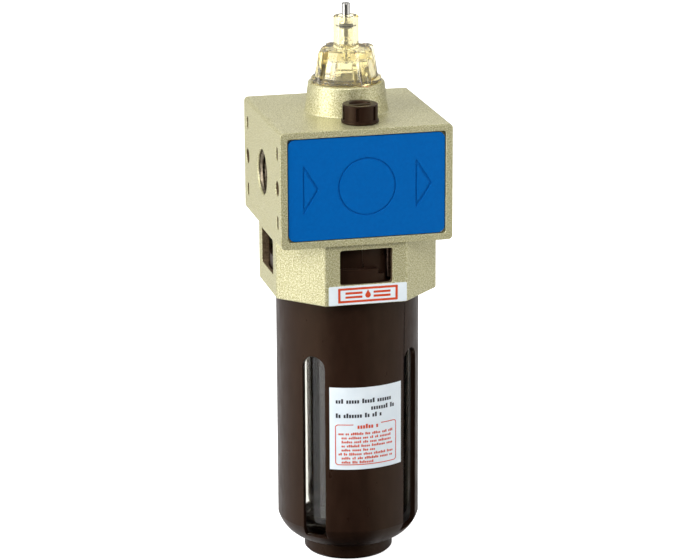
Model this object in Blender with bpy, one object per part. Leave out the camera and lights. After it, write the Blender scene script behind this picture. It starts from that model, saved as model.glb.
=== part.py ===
"""Compressed-air oil-mist lubricator with a square die-cast head, a bayonet bowl guard, a clear
bowl and a clear sight dome. The object stands on its bowl guard: the origin is the centre of the
guard's bottom face, +Z is up, -Y is the front and air flows from the -X port to the +X port.

All the sizes here are in millimetres, and the helper functions turn them into metres.
"""

from math import asin, cos, pi, radians, sin

import bmesh
import bpy
from mathutils import Matrix, Vector

MM = 0.001
GAP = 0.3  # clearance that is left between pieces that touch

# ---- Driving dimensions: head ----
HEAD_WIDTH = 80.0
HEAD_TOP = 213.4
HEAD_BOTTOM = 159.4
FLOW_Z = 0.5 * (HEAD_TOP + HEAD_BOTTOM)
HEAD_EDGE = 2.0
SKIRT_BOTTOM = 130.7
SKIRT_HALF = 38.0
SKIRT_CORNER = 19.0
NECK_BASE_R = 19.1
NECK_TOP_R = 17.7
NECK_TOP = 227.3
PORT_R = 9.6
PORT_MOUTH_R = 10.6
PORT_DEPTH = 18.0
MAIN_BORE_R = 9.0
RECESS_WIDTH = 73.4
RECESS_HEIGHT = 47.7
RECESS_DEPTH = 2.6
SIDE_COLUMN_Y = 32.5
SIDE_SLOT_RISE = 16.0
SIDE_MARK_DEPTH = 5.0
SIDE_SLOT_WIDTH, SIDE_SLOT_HEIGHT = 3.6, 5.8
SIDE_HOLE_R = 3.5
WINDOW_WIDTH = 24.5
WINDOW_LOW, WINDOW_HIGH = 140.4, 156.7
PLATE_MARGIN = 0.4
PLATE_THICKNESS = 1.8
PLATE_CORNER = 3.0

# ---- Driving dimensions: bowl, guard and bayonet ----
GUARD_R = 33.4
GUARD_WALL = 2.5
GUARD_TOP = 156.9
GUARD_TURN = 3.0  # degrees that the locked guard stands past square
SHOULDER_Z = 18.5
BOSS_R = 20.9
BOSS_TOP = 7.0
SLOT_WIDTH = 11.6
SLOT_TOP = 103.4
SLOT_FLOOR = 14.2
WEB_LOW, WEB_HIGH = 8.0, 11.0  # the guard's floor, which the drain stands in
GUARD_STEP_Z = 149.8
CAVITY_R = 36.4
CAVITY_TOP = 157.6
LEDGE_R = 33.9
LEDGE_TOP = 137.0
LUG_R = 36.0
LUG_ROOT_R = 32.4
LUG_TOP = 146.8
LUG_ANGLE = 33.0
LUG_CENTRE = -6.5
HEEL_END = 15.0  # the heel is a low step at the lug's end, which meets the stop pin
STOP_ANGLE = 19.5
STOP_R = 34.9
STOP_LOW, STOP_HIGH = 142.0, 162.6
STOP_PIN_R = 1.2
UNLOCK_ANGLE = 45.0
NOTCH_MARGIN = 2.0  # degrees that an entry notch is wider than its lug at each end
BOWL_R = 29.0
BOWL_WALL = 5.8
BOWL_BOTTOM = 14.6
BOWL_TOP = 167.9
BOWL_BORE_R = 28.8
BOWL_BORE_TOP = 168.4
BOWL_NECK_R = 28.5
SEAL_GROOVE_R = 25.9

# ---- Driving dimensions: sight dome, needle, filler plug ----
DOME_SEAT = NECK_TOP + GAP
DOME_STEM_R = 13.0
DOME_STEM_BOTTOM = 212.4
DOME_BORE_R = 13.3
DOME_RECESS_R = 15.4
DRIP_WAY_R = 2.2
DOME_FLOOR = 211.0
DOME_SHOULDER = 242.8
DOME_TOP = 257.6
DOME_TUBE_R = 5.8
LOBE_TURN = 21.0
LOBE_BOTTOM_R = 17.2
LOBE_TOP_R = 14.7
NEEDLE_R = 1.9
NEEDLE_TOP = 263.5
NEEDLE_BORE_R = 3.35
NEEDLE_SEAL_Z = 253.1
PLUG_Y = -26.6
PLUG_FLANGE_R = 8.6
PLUG_GROOVE_TURN = 20.0  # degrees from the front to the nearest groove
PLUG_TOP = 222.2
PLUG_R = 8.1
PLUG_BORE_R = 6.3
FILL_WAY_R = 2.5

# ---- Driving dimensions: pieces inside ----
SIPHON_Y = 12.5
SIPHON_R = 2.5
SIPHON_BOTTOM = 24.0
ADAPTOR_R = 4.2
ADAPTOR_TOP = 173.8
OIL_WAY_R = 1.4
CHARGE_X = -16.0
CHARGE_SEAT_R = 3.1
CHARGE_TOP = 175.4
CHARGE_WAY_R = 1.0
INSERT_R = 8.7
INSERT_BORE_R = 7.4
VANE_X = -5.0
VANE_DROP = 5.2  # how far the vane's pin lies below the middle of the flow bore
DRAIN_R = 4.0

COARSE, MEDIUM, FINE = 12, 24, 40  # facets round small, middling and large pieces


# ---- Helpers ----
def clear_scene():
    for old in list(bpy.data.objects):
        bpy.data.objects.remove(old, do_unlink=True)


def material(name, colour, roughness, metallic=0.0, alpha=1.0):
    made = bpy.data.materials.new(name)
    made.use_nodes = True
    shader = made.node_tree.nodes["Principled BSDF"]
    shader.inputs["Base Color"].default_value = (*colour, 1.0)
    shader.inputs["Roughness"].default_value = roughness
    shader.inputs["Metallic"].default_value = metallic
    shader.inputs["Alpha"].default_value = alpha
    made.diffuse_color = (*colour, alpha)
    return made


def empty(name, place):
    """A pivot on a joint's axis; place is in millimetres."""
    made = bpy.data.objects.new(name, None)
    made.location = Vector(place) * MM
    made.empty_display_size = 0.01
    bpy.context.collection.objects.link(made)
    return made


def add_object(name, bm, look=None, place=(0, 0, 0), parent=None, smooth=True):
    """Turns a bmesh in millimetres into an object in metres, whose origin is at place."""
    bm.normal_update()
    bmesh.ops.recalc_face_normals(bm, faces=bm.faces)
    bm.transform(Matrix.Scale(MM, 4))
    mesh = bpy.data.meshes.new(name)
    bm.to_mesh(mesh)
    bm.free()
    made = bpy.data.objects.new(name, mesh)
    bpy.context.collection.objects.link(made)
    if look:
        mesh.materials.append(look)
    if smooth:
        mesh.shade_smooth()
        mesh.set_sharp_from_angle(angle=radians(35))
    made.location = Vector(place) * MM
    if parent:
        made.parent = parent
        made.location -= parent.location
    return made


def turned(profile, steps, axis="Z"):
    """A closed (radius, height) outline turned about an axis. Points at radius 0 lie on the axis."""
    bm = bmesh.new()
    points = [bm.verts.new((r, 0, z)) for r, z in profile]
    edges = [bm.edges.new(pair) for pair in zip(points, points[1:] + points[:1])]
    on_axis = [e for e in edges if all(abs(v.co.x) < 1e-6 for v in e.verts)]
    for edge in on_axis:
        bm.edges.remove(edge)
    bmesh.ops.spin(
        bm, geom=bm.verts[:] + bm.edges[:], cent=(0, 0, 0), axis=(0, 0, 1), angle=2 * pi,
        steps=steps, use_merge=True,
    )
    bmesh.ops.remove_doubles(bm, verts=bm.verts, dist=1e-4)
    if axis == "X":
        bm.transform(Matrix.Rotation(pi / 2, 4, "Y"))
    if axis == "Y":
        bm.transform(Matrix.Rotation(-pi / 2, 4, "X"))
    return bm


def rod(radius, low, high, steps=COARSE, axis="Z"):
    return turned([(0, high), (radius, high), (radius, low), (0, low)], steps, axis)


def ring_seal(major, minor, height, steps=MEDIUM, sides=6):
    """An O-ring about the Z axis."""
    turn = 2 * pi / sides
    outline = [(major + minor * cos(i * turn), height + minor * sin(i * turn)) for i in range(sides)]
    return turned(outline, steps)


def extruded(outline, low, high):
    """A flat (x, y) outline drawn up from height low to height high."""
    bm = bmesh.new()
    face = bm.faces.new([bm.verts.new((x, y, low)) for x, y in outline])
    made = bmesh.ops.extrude_face_region(bm, geom=[face])["geom"]
    tops = [item for item in made if isinstance(item, bmesh.types.BMVert)]
    bmesh.ops.translate(bm, verts=tops, vec=(0, 0, high - low))
    return bm


def block(size, centre, edge=0.0, segments=2):
    bm = bmesh.new()
    bmesh.ops.create_cube(bm, size=1.0)
    bm.transform(Matrix.Translation(centre) @ Matrix.Diagonal((*size, 1.0)))
    if edge:
        bmesh.ops.bevel(bm, geom=bm.edges[:], offset=edge, segments=segments, affect="EDGES", profile=0.5)
    return bm


def arc(centre, radius, start, end, steps):
    """Points on a circle from one angle to another, in degrees."""
    angles = [radians(start + (end - start) * i / steps) for i in range(steps + 1)]
    return [(centre[0] + radius * cos(a), centre[1] + radius * sin(a)) for a in angles]


def from_front(angle, radius):
    """The place at this angle in degrees from the front, -Y, towards +X."""
    return radius * sin(radians(angle)), -radius * cos(radians(angle))


def sector(inner, outer, first, last, low, high, steps=4):
    """A piece of a ring between two angles from the front."""
    turn = -90.0
    outline = arc((0, 0), outer, first + turn, last + turn, steps)
    outline += arc((0, 0), inner, last + turn, first + turn, steps)
    return extruded(outline, low, high)


def helper(bm, place=(0, 0, 0)):
    """A shape that only cuts or adds to another one."""
    made = add_object("helper", bm, place=place, smooth=False)
    made.hide_render = True
    made.display_type = "WIRE"
    return made


def combine(target, bm, operation, place=(0, 0, 0)):
    other = helper(bm, place)
    step = target.modifiers.new(operation.title(), "BOOLEAN")
    step.operation = operation
    step.solver = "EXACT"
    step.object = other


def cut(target, bm, place=(0, 0, 0)):
    combine(target, bm, "DIFFERENCE", place)


def add(target, bm, place=(0, 0, 0)):
    combine(target, bm, "UNION", place)


def coil(radius, wire, low, high, turns, sides=4, per_turn=10):
    """A closed helical wire about the Z axis."""
    bm = bmesh.new()
    count = int(turns * per_turn)
    rings = []
    for i in range(count + 1):
        angle = 2 * pi * i / per_turn
        height = low + wire + (high - low - 2 * wire) * i / count
        ring = []
        for k in range(sides):
            tilt = 2 * pi * k / sides
            reach = radius + wire * cos(tilt)
            ring.append(bm.verts.new((reach * cos(angle), reach * sin(angle), height + wire * sin(tilt))))
        rings.append(ring)
    for before, after in zip(rings, rings[1:]):
        for k in range(sides):
            bm.faces.new((before[k], before[k - 1], after[k - 1], after[k]))
    bm.faces.new(rings[0])
    bm.faces.new(rings[-1])
    return bm


# ---- Head ----
def make_head(look):
    """The die-cast head: a square block, an eight-sided skirt under it and a tapered neck on top."""
    height = HEAD_TOP - HEAD_BOTTOM
    body = add_object("head_body", block((HEAD_WIDTH, HEAD_WIDTH, height), (0, 0, FLOW_Z), HEAD_EDGE), look)
    corners = [
        (-SKIRT_CORNER, -SKIRT_HALF), (SKIRT_CORNER, -SKIRT_HALF),
        (SKIRT_HALF, -SKIRT_CORNER), (SKIRT_HALF, SKIRT_CORNER),
        (SKIRT_CORNER, SKIRT_HALF), (-SKIRT_CORNER, SKIRT_HALF),
        (-SKIRT_HALF, SKIRT_CORNER), (-SKIRT_HALF, -SKIRT_CORNER),
    ]
    add(body, extruded(corners, SKIRT_BOTTOM, HEAD_BOTTOM + 1))
    neck = [(0, NECK_TOP), (NECK_TOP_R - 0.8, NECK_TOP), (NECK_TOP_R, NECK_TOP - 0.8)]
    neck += [(NECK_BASE_R, HEAD_TOP), (NECK_BASE_R, HEAD_TOP - 1), (0, HEAD_TOP - 1)]
    add(body, turned(neck, FINE))
    cut_plate_recesses(body)
    cut_flow_bore(body)
    cut_bowl_cavity(body)
    cut_dome_bore(body)
    cut_filler(body)
    cut_side_marks(body)
    return body


def cut_plate_recesses(body):
    for side in (-1, 1):
        size = (RECESS_WIDTH, 2 * RECESS_DEPTH, RECESS_HEIGHT)
        cut(body, block(size, (0, side * HEAD_WIDTH / 2, FLOW_Z)))


def cut_flow_bore(body):
    half = HEAD_WIDTH / 2
    mouth = PORT_MOUTH_R - PORT_R
    outline = [(0, half + 1), (PORT_MOUTH_R, half + 1), (PORT_MOUTH_R, half), (PORT_R, half - mouth)]
    outline += [(PORT_R, half - PORT_DEPTH), (MAIN_BORE_R, half - PORT_DEPTH)]
    outline += [(r, -x) for r, x in reversed(outline)]
    cut(body, turned(outline, MEDIUM, "X"), (0, 0, FLOW_Z))


def cut_bowl_cavity(body):
    """The bayonet groove over its ledge, the entry notches, the windows, and the bowl's bore."""
    below = SKIRT_BOTTOM - 1
    outline = [(0, BOWL_BORE_TOP), (BOWL_BORE_R, BOWL_BORE_TOP), (BOWL_BORE_R, CAVITY_TOP)]
    outline += [(CAVITY_R, CAVITY_TOP), (CAVITY_R, LEDGE_TOP), (LEDGE_R, LEDGE_TOP), (LEDGE_R, below)]
    cut(body, turned(outline + [(0, below)], FINE))
    middle = LUG_CENTRE - UNLOCK_ANGLE
    half = 0.5 * LUG_ANGLE + NOTCH_MARGIN
    for quarter in range(4):
        first = middle - half + 90 * quarter
        last = middle + half + HEEL_END - (LUG_CENTRE + 0.5 * LUG_ANGLE) + 90 * quarter
        cut(body, sector(LEDGE_R - 2, CAVITY_R, first, last, below, LEDGE_TOP + 1))
    through = 12.0
    size = (WINDOW_WIDTH, through, WINDOW_HIGH - WINDOW_LOW)
    window = block(size, (0, -SKIRT_HALF, 0.5 * (WINDOW_LOW + WINDOW_HIGH)))
    for quarter in range(4):
        cut(body, window.copy())
        window.transform(Matrix.Rotation(pi / 2, 4, "Z"))
    window.free()
    cut_valve_ways(body)


def cut_valve_ways(body):
    """The holes over the bowl: for the stop pin, the siphon's adaptor and oil way, and the charge valve."""
    x, y = from_front(STOP_ANGLE, STOP_R)
    cut(body, rod(STOP_PIN_R + GAP, CAVITY_TOP - 1, STOP_HIGH + 0.4), (x, y, 0))
    cut(body, rod(ADAPTOR_R + GAP, BOWL_BORE_TOP - 1, ADAPTOR_TOP + 0.6), (0, SIPHON_Y, 0))
    cut(body, rod(OIL_WAY_R, ADAPTOR_TOP - 0.8, DOME_FLOOR + 1, 10), (0, SIPHON_Y - 0.9, 0))
    cut(body, rod(CHARGE_SEAT_R + GAP, BOWL_BORE_TOP - 1, CHARGE_TOP), (CHARGE_X, 0, 0))
    cut(body, rod(CHARGE_WAY_R, CHARGE_TOP - 1, FLOW_Z - 6.4, 10), (CHARGE_X, 0, 0))


def cut_dome_bore(body):
    seat, groove = NECK_TOP - 2, DOME_FLOOR - 1.3
    outline = [(0, NECK_TOP + 1), (DOME_RECESS_R, NECK_TOP + 1), (DOME_RECESS_R, seat), (DOME_BORE_R, seat)]
    outline += [(DOME_BORE_R, DOME_FLOOR), (10.3, DOME_FLOOR), (10.3, groove), (8.3, groove)]
    outline += [(8.3, DOME_FLOOR), (6.0, DOME_FLOOR), (DRIP_WAY_R, DOME_FLOOR - 4)]
    outline += [(DRIP_WAY_R, FLOW_Z + 4), (0, FLOW_Z + 4)]
    cut(body, turned(outline, MEDIUM))


def cut_filler(body):
    """The oil filler's bore, its spot face, which clips the neck, and the hole down to the bowl."""
    place = (0, PLUG_Y, 0)
    cut(body, rod(PLUG_FLANGE_R + 0.25, HEAD_TOP, NECK_TOP + 1, MEDIUM), place)
    floor = HEAD_TOP - 10
    cut(body, rod(PLUG_BORE_R, floor, HEAD_TOP + 1, MEDIUM), place)
    cut(body, rod(FILL_WAY_R, BOWL_BORE_TOP - 1, floor + 0.6), (0, PLUG_Y + 3.1, 0))


def cut_side_marks(body):
    """Two columns of a slot, a round hole and a slot on each port face, for joining units in a row."""
    deep = SIDE_MARK_DEPTH
    for side in (-0.5 * HEAD_WIDTH, 0.5 * HEAD_WIDTH):
        for column in (-SIDE_COLUMN_Y, SIDE_COLUMN_Y):
            for rise in (-SIDE_SLOT_RISE, SIDE_SLOT_RISE):
                slot = block((2 * deep, SIDE_SLOT_WIDTH, SIDE_SLOT_HEIGHT), (side, column, FLOW_Z + rise))
                cut(body, slot)
            cut(body, rod(SIDE_HOLE_R, -deep, deep, COARSE, "X"), (side, column, FLOW_Z))


def make_plates(look):
    half = 0.5 * PLATE_THICKNESS
    middle = 0.5 * HEAD_WIDTH - RECESS_DEPTH + GAP + half
    width, height = RECESS_WIDTH - 2 * PLATE_MARGIN, RECESS_HEIGHT - 2 * PLATE_MARGIN
    for name, side in (("front_plate", -1), ("rear_plate", 1)):
        bm = extruded(rounded_outline(width, height, PLATE_CORNER), -half, half)
        bm.transform(Matrix.Rotation(pi / 2, 4, "X"))
        add_object(name, bm, look, (0, side * middle, FLOW_Z), smooth=False)


def rounded_outline(width, height, radius, steps=3):
    """A rectangle with round corners, about (0, 0)."""
    outline = []
    for start, x, y in ((0, 1, 1), (90, -1, 1), (180, -1, -1), (270, 1, -1)):
        centre = (x * (0.5 * width - radius), y * (0.5 * height - radius))
        outline += arc(centre, radius, start, start + 90, steps)
    return outline


def make_front_label(look):
    size = (36.6, 0.25, 8.9)
    place = (0.6, -(SKIRT_HALF + 0.1 + 0.5 * size[1]), 135.7)
    add_object("front_label", block(size, (0, 0, 0)), look, place, smooth=False)


def make_stop_pin(look):
    x, y = from_front(STOP_ANGLE, STOP_R)
    tip = STOP_PIN_R - 0.4
    outline = [(0, STOP_HIGH), (tip, STOP_HIGH), (STOP_PIN_R, STOP_HIGH - 0.4), (STOP_PIN_R, STOP_LOW + 0.6)]
    outline += [(tip, STOP_LOW), (0, STOP_LOW)]
    add_object("bayonet_stop_pin", turned(outline, 12), look, (x, y, 0))


# ---- Bowl and guard ----
def make_guard(look, pivot):
    inner = GUARD_R - GUARD_WALL
    start, end = (GUARD_R, SHOULDER_Z), (BOSS_R, BOSS_TOP)
    outline = [(GUARD_R, GUARD_TOP)] + bulged(start, end, 0.14, 5)
    outline += [(BOSS_R, 1.2), (BOSS_R - 1.2, 0), (17.0, 0), (17.0, WEB_LOW), (11.0, WEB_LOW)]
    outline += [(11.0, WEB_HIGH), (22.0, WEB_HIGH)]
    outline += bulged((26.5, WEB_HIGH + 2), (inner, SHOULDER_Z + 1), -0.14, 2)
    outline += [(inner, GUARD_STEP_Z), (31.9, GUARD_STEP_Z), (31.9, GUARD_TOP)]
    guard = add_object("bowl_guard", turned(outline, FINE), look, parent=pivot)
    first = LUG_CENTRE - 0.5 * LUG_ANGLE
    last = LUG_CENTRE + 0.5 * LUG_ANGLE
    for quarter in range(4):
        turn = 90 * quarter
        add(guard, sector(LUG_ROOT_R, LUG_R, first + turn, last + turn, LEDGE_TOP + GAP, LUG_TOP))
        heel = sector(LUG_ROOT_R, LUG_R, last - 1 + turn, HEEL_END + turn, LEDGE_TOP + GAP, LUG_TOP - 2.5, 2)
        add(guard, heel)
    for quarter in range(4):
        cut(guard, slot_cutter(45 + GUARD_TURN + 90 * quarter))
    return guard


def bulged(start, end, bulge, steps):
    """Points on the arc from start to end whose middle stands off the chord by bulge times its length."""
    chord = Vector(end) - Vector(start)
    side = Vector((-chord.y, chord.x)).normalized()
    height = bulge * chord.length
    radius = (0.25 * chord.length**2 + height**2) / (2 * height)
    centre = Vector(start) + 0.5 * chord + side * (height - radius)
    half = asin(0.5 * chord.length / abs(radius))
    spoke = Vector(start) + 0.5 * chord + side * height - centre
    turns = [half * (1 - 2 * i / steps) for i in range(steps + 1)]
    if bulge < 0:
        turns = [-t for t in turns]
    points = []
    for t in turns:
        points.append((centre.x + spoke.x * cos(t) - spoke.y * sin(t),
                       centre.y + spoke.x * sin(t) + spoke.y * cos(t)))
    return points


def slot_cutter(angle):
    """A slot with a round top through one side of the guard."""
    half = 0.5 * SLOT_WIDTH
    outline = [(-half, SLOT_FLOOR), (half, SLOT_FLOOR)]
    outline += arc((0, SLOT_TOP - half), half, 0, 180, 6)
    bm = extruded(outline, 22.0, GUARD_R + 2)
    bm.transform(Matrix.Rotation(radians(angle), 4, "Z") @ Matrix.Rotation(pi / 2, 4, "X"))
    return bm


def make_bowl(look, pivot):
    inner = BOWL_R - BOWL_WALL
    round_r = 8.0
    floor = BOWL_BOTTOM + 3.4
    outline = [(24.2, BOWL_TOP), (BOWL_NECK_R, BOWL_TOP), (BOWL_NECK_R, 163.6), (SEAL_GROOVE_R, 163.6)]
    outline += [(SEAL_GROOVE_R, 160.6), (BOWL_NECK_R, 160.6), (BOWL_NECK_R, 153.8), (31.6, 153.8)]
    outline += [(31.6, 150.1), (BOWL_R, 150.1)]
    outline += arc((BOWL_R - round_r, BOWL_BOTTOM + round_r), round_r, 0, -90, 4)
    outline += [(9.0, BOWL_BOTTOM), (9.0, 8.8), (DRAIN_R + GAP, 8.8), (DRAIN_R + GAP, floor)]
    outline += arc((inner - 5, floor + 5), 5, -90, 0, 2)
    outline += [(inner, 146.0), (24.2, 151.0)]
    return add_object("bowl", turned(outline, FINE), look, parent=pivot)


def make_bowl_seal(look, pivot):
    major = 0.5 * (SEAL_GROOVE_R + BOWL_BORE_R)
    add_object("bowl_o_ring", ring_seal(major, 1.15, 162.1, FINE), look, parent=pivot)


def make_guard_label(look, pivot):
    """A printed patch that lies round the front of the guard."""
    first, last = -28.0, 33.8
    bm = sector(GUARD_R + 0.1, GUARD_R + 0.35, first, last, 49.7, 89.6, 10)
    add_object("guard_label", bm, look, parent=pivot)


def make_drain(screw_look, seal_look, pivot):
    outline = [(0, 19.0), (2.2, 19.0), (DRAIN_R, 17.2), (DRAIN_R, 7.9), (6.8, 7.9), (6.8, 4.4), (6.2, 3.8)]
    screw = add_object("drain_screw", turned(outline + [(0, 3.8)], MEDIUM), screw_look, parent=pivot)
    cut(screw, block((15, 1.6, 3.0), (0, 0, 3.8)))
    add_object("drain_o_ring", ring_seal(5.0, 0.4, 8.35, COARSE, 6), seal_look, parent=pivot)


# ---- Sight dome and needle ----
def make_dome(look, pivot):
    outline = [(NEEDLE_BORE_R, DOME_TOP), (DOME_TUBE_R - 0.4, DOME_TOP), (DOME_TUBE_R, DOME_TOP - 0.4)]
    outline += [(DOME_TUBE_R, DOME_SHOULDER), (10.9, DOME_SHOULDER), (11.7, DOME_SHOULDER - 0.8)]
    outline += [(14.6, 230.0), (16.2, 229.0), (16.2, DOME_SEAT), (DOME_STEM_R, DOME_SEAT)]
    outline += [(DOME_STEM_R, DOME_STEM_BOTTOM), (7.5, DOME_STEM_BOTTOM), (7.5, 226.0), (11.6, 229.0)]
    outline += [(9.4, 237.0), (8.4, 238.1), (1.5, 238.1), (1.5, 241.4), (2.2, 242.4), (2.2, 249.4)]
    outline += [(NEEDLE_BORE_R, 249.4)]
    dome = add_object("sight_dome", turned(outline, MEDIUM), look, parent=pivot)
    for quarter in range(4):
        add(dome, grip_lobe(LOBE_TURN + 90 * quarter))
    vertical = rod(0.6, DOME_STEM_BOTTOM - 1, 240.6, 8)
    vertical.transform(Matrix.Translation((*from_front(180 + LOBE_TURN, 10.3), 0)))
    cut(dome, vertical)
    across = rod(0.6, 0, 10.6, 8)
    across.transform(Matrix.Rotation(radians(180 + LOBE_TURN), 4, "Z") @ Matrix.Rotation(pi / 2, 4, "X"))
    across.transform(Matrix.Translation((0, 0, 240.2)))
    cut(dome, across)
    return dome


def grip_lobe(angle):
    """One tapered rib of the dome's grip, with a round outer side."""
    bm = bmesh.new()
    levels = ((DOME_SEAT, LOBE_BOTTOM_R, 3.2), (DOME_SHOULDER - 1.0, LOBE_TOP_R, 2.8))
    levels += ((DOME_SHOULDER, LOBE_TOP_R - 1.0, 2.0),)
    rings = []
    for height, reach, half in levels:
        side = arc((0, -(reach - half)), half, 180, 360, 4)
        rings.append([bm.verts.new((x, y, height)) for x, y in [(-half, -9.0)] + side + [(half, -9.0)]])
    for lower, upper in zip(rings, rings[1:]):
        for i in range(len(lower)):
            bm.faces.new((lower[i - 1], lower[i], upper[i], upper[i - 1]))
    bm.faces.new(rings[0])
    bm.faces.new(rings[-1])
    bm.transform(Matrix.Rotation(radians(angle), 4, "Z"))
    return bm


def make_dome_seals(look, pivot):
    add_object("dome_o_ring", ring_seal(14.2, 0.9, 226.5), look, parent=pivot)
    add_object("dome_inner_o_ring", ring_seal(9.3, 0.7, DOME_FLOOR - 0.3), look)


def make_drip_nozzle(look, pivot):
    outline = [(0.5, 240.4), (1.05, 240.4), (1.05, 235.3), (0.5, 235.3)]
    add_object("drip_nozzle", turned(outline, 12), look, parent=pivot)


def make_needle(needle_look, seal_look, pivot):
    low, high = NEEDLE_SEAL_Z - 1.1, NEEDLE_SEAL_Z + 1.1
    outline = [(0, NEEDLE_TOP), (1.5, NEEDLE_TOP), (NEEDLE_R, NEEDLE_TOP - 0.4), (NEEDLE_R, high + 0.7)]
    outline += [(2.9, high + 0.7), (2.9, high), (1.25, high), (1.25, low), (2.9, low), (2.9, low - 0.7)]
    outline += [(NEEDLE_R, low - 0.7), (NEEDLE_R, 248.0), (1.5, 247.6), (NEEDLE_R, 247.2)]
    outline += [(NEEDLE_R, 244.6), (1.1, 243.0), (1.1, 242.2), (0, 241.0)]
    needle = add_object("adjusting_needle", turned(outline, COARSE), needle_look, parent=pivot)
    cut(needle, block((6, 0.8, 2.4), (0, 0, NEEDLE_TOP)))
    add_object("needle_o_ring", ring_seal(2.3, 0.72, NEEDLE_SEAL_Z, 24), seal_look, parent=pivot)


# ---- Filler plug ----
def make_plug(plug_look, seal_look):
    place = (0, PLUG_Y, HEAD_TOP)
    pivot = empty("plug_axis", place)
    top, stem = PLUG_TOP - HEAD_TOP, PLUG_BORE_R - GAP
    outline = [(0, top - 1.6), (4.8, top - 1.6), (4.8, top), (PLUG_R - 0.8, top), (PLUG_R, top - 0.8)]
    outline += [(PLUG_R, 1.5), (PLUG_FLANGE_R, 1.5), (PLUG_FLANGE_R, GAP), (stem, GAP), (stem, -0.9)]
    outline += [(4.2, -0.9), (4.2, -3.1), (stem, -3.1), (stem, -8.4), (stem - 0.8, -9.2), (0, -9.2)]
    plug = add_object("filler_plug", turned(outline, MEDIUM), plug_look, place, pivot)
    add(plug, block((9.8, 1.8, 1.6), (0, 0, top - 1.3)), place)
    for sixth in range(6):
        groove = block((1.7, 1.6, top - 3.0), (0, -PLUG_R, 0.5 * top + 0.6))
        groove.transform(Matrix.Rotation(radians(60 * sixth - PLUG_GROOVE_TURN), 4, "Z"))
        cut(plug, groove, place)
    add_object("filler_o_ring", ring_seal(5.25, 0.72, -2.0), seal_look, place, pivot)


# ---- Pieces in the air and oil ways ----
def make_flow_insert(look):
    """The liner of the flow bore, with a lip that the vane closes on and a hole for the drops."""
    outline = [(INSERT_BORE_R, 12.0), (INSERT_R, 12.0), (INSERT_R, -12.0), (INSERT_BORE_R, -12.0)]
    outline += [(INSERT_BORE_R, -8.6), (5.4, -8.2), (5.4, -6.8), (INSERT_BORE_R, -6.8)]
    insert = add_object("flow_insert", turned(outline, MEDIUM, "X"), look, (0, 0, FLOW_Z))
    cut(insert, rod(2.4, 4.0, 10.0, 12), (0, 0, FLOW_Z))
    cut(insert, rod(0.8, -8.0, 8.0, 10, "Y"), (VANE_X, 0, FLOW_Z - VANE_DROP))


def make_vane(vane_look, pin_look, spring_look):
    place = (VANE_X, 0, FLOW_Z - VANE_DROP)
    pivot = empty("vane_axis", place)
    disc = rod(6.4, -1.4, -0.4, 24, "X")
    disc.transform(Matrix.Translation((0, 0, VANE_DROP + 0.2)))
    below = [v for v in disc.verts if v.co.z < -0.2]
    for vert in below:
        vert.co.z = -0.2
    bmesh.ops.remove_doubles(disc, verts=disc.verts, dist=1e-4)
    bmesh.ops.dissolve_degenerate(disc, dist=1e-4, edges=disc.edges)
    vane = add_object("flow_vane", disc, vane_look, place, pivot)
    add(vane, rod(1.1, -1.2, 2.2, 12, "Y"), place)
    cut(vane, rod(0.8, -8.0, 8.0, 12, "Y"), place)
    cut(vane, rod(1.5, -3.8, -1.2, 12, "Y"), place)
    add_object("vane_pin", rod(0.5, -5.6, 5.6, 12, "Y"), pin_look, place, pivot)
    bm = coil(0.95, 0.12, -3.4, -1.5, 3)
    bm.transform(Matrix.Rotation(-pi / 2, 4, "X"))
    add_object("vane_spring", bm, spring_look, place, pivot)


def make_siphon(brass_look, ball_look, tube_look, strainer_look):
    place = (0, SIPHON_Y, 0)
    socket = SIPHON_R + GAP
    outline = [(1.2, ADAPTOR_TOP), (ADAPTOR_R, ADAPTOR_TOP), (ADAPTOR_R, 168.1), (5.6, 168.1)]
    outline += [(5.6, 158.0), (socket, 158.0), (socket, 163.6), (1.2, 163.6), (1.2, 165.0)]
    outline += [(2.4, 165.6), (2.4, 170.6), (1.2, 170.6)]
    add_object("siphon_adaptor", turned(outline, COARSE), brass_look, place)
    tube = [(SIPHON_R, 163.3), (SIPHON_R, SIPHON_BOTTOM), (1.5, SIPHON_BOTTOM), (1.5, 163.3)]
    add_object("siphon_tube", turned(tube, COARSE), tube_look, place)
    bottom, stop = SIPHON_BOTTOM - 4.4, SIPHON_BOTTOM - GAP
    outline = [(socket, 32.0), (4.5, 32.0), (4.5, bottom + 1), (3.5, bottom), (0, bottom)]
    outline += [(0, bottom + 3.0), (1.6, bottom + 3.0), (1.6, stop), (socket, stop)]
    add_object("tube_strainer", turned(outline, COARSE), strainer_look, place)
    ball = bmesh.new()
    bmesh.ops.create_icosphere(ball, subdivisions=2, radius=2.0)
    add_object("check_ball", ball, ball_look, (0, SIPHON_Y, 167.2))


def make_charge_valve(brass_look, ball_look, spring_look):
    """The spring-held ball that lets line pressure into the bowl slowly."""
    place = (CHARGE_X, 0, 0)
    outline = [(1.2, 170.6), (CHARGE_SEAT_R, 170.6), (CHARGE_SEAT_R, 168.1)]
    outline += [(4.6, 168.1), (4.6, 166.6), (1.2, 166.6)]
    add_object("charge_valve_seat", turned(outline, COARSE), brass_look, place)
    add_object("charge_valve_spring", coil(1.5, 0.2, 170.9, 172.9, 3), spring_look, place)
    ball = bmesh.new()
    bmesh.ops.create_icosphere(ball, subdivisions=2, radius=1.0)
    bmesh.ops.scale(ball, vec=(1.9, 1.9, 1.0), verts=ball.verts)
    add_object("charge_valve_ball", ball, ball_look, (CHARGE_X, 0, 174.2))


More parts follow.
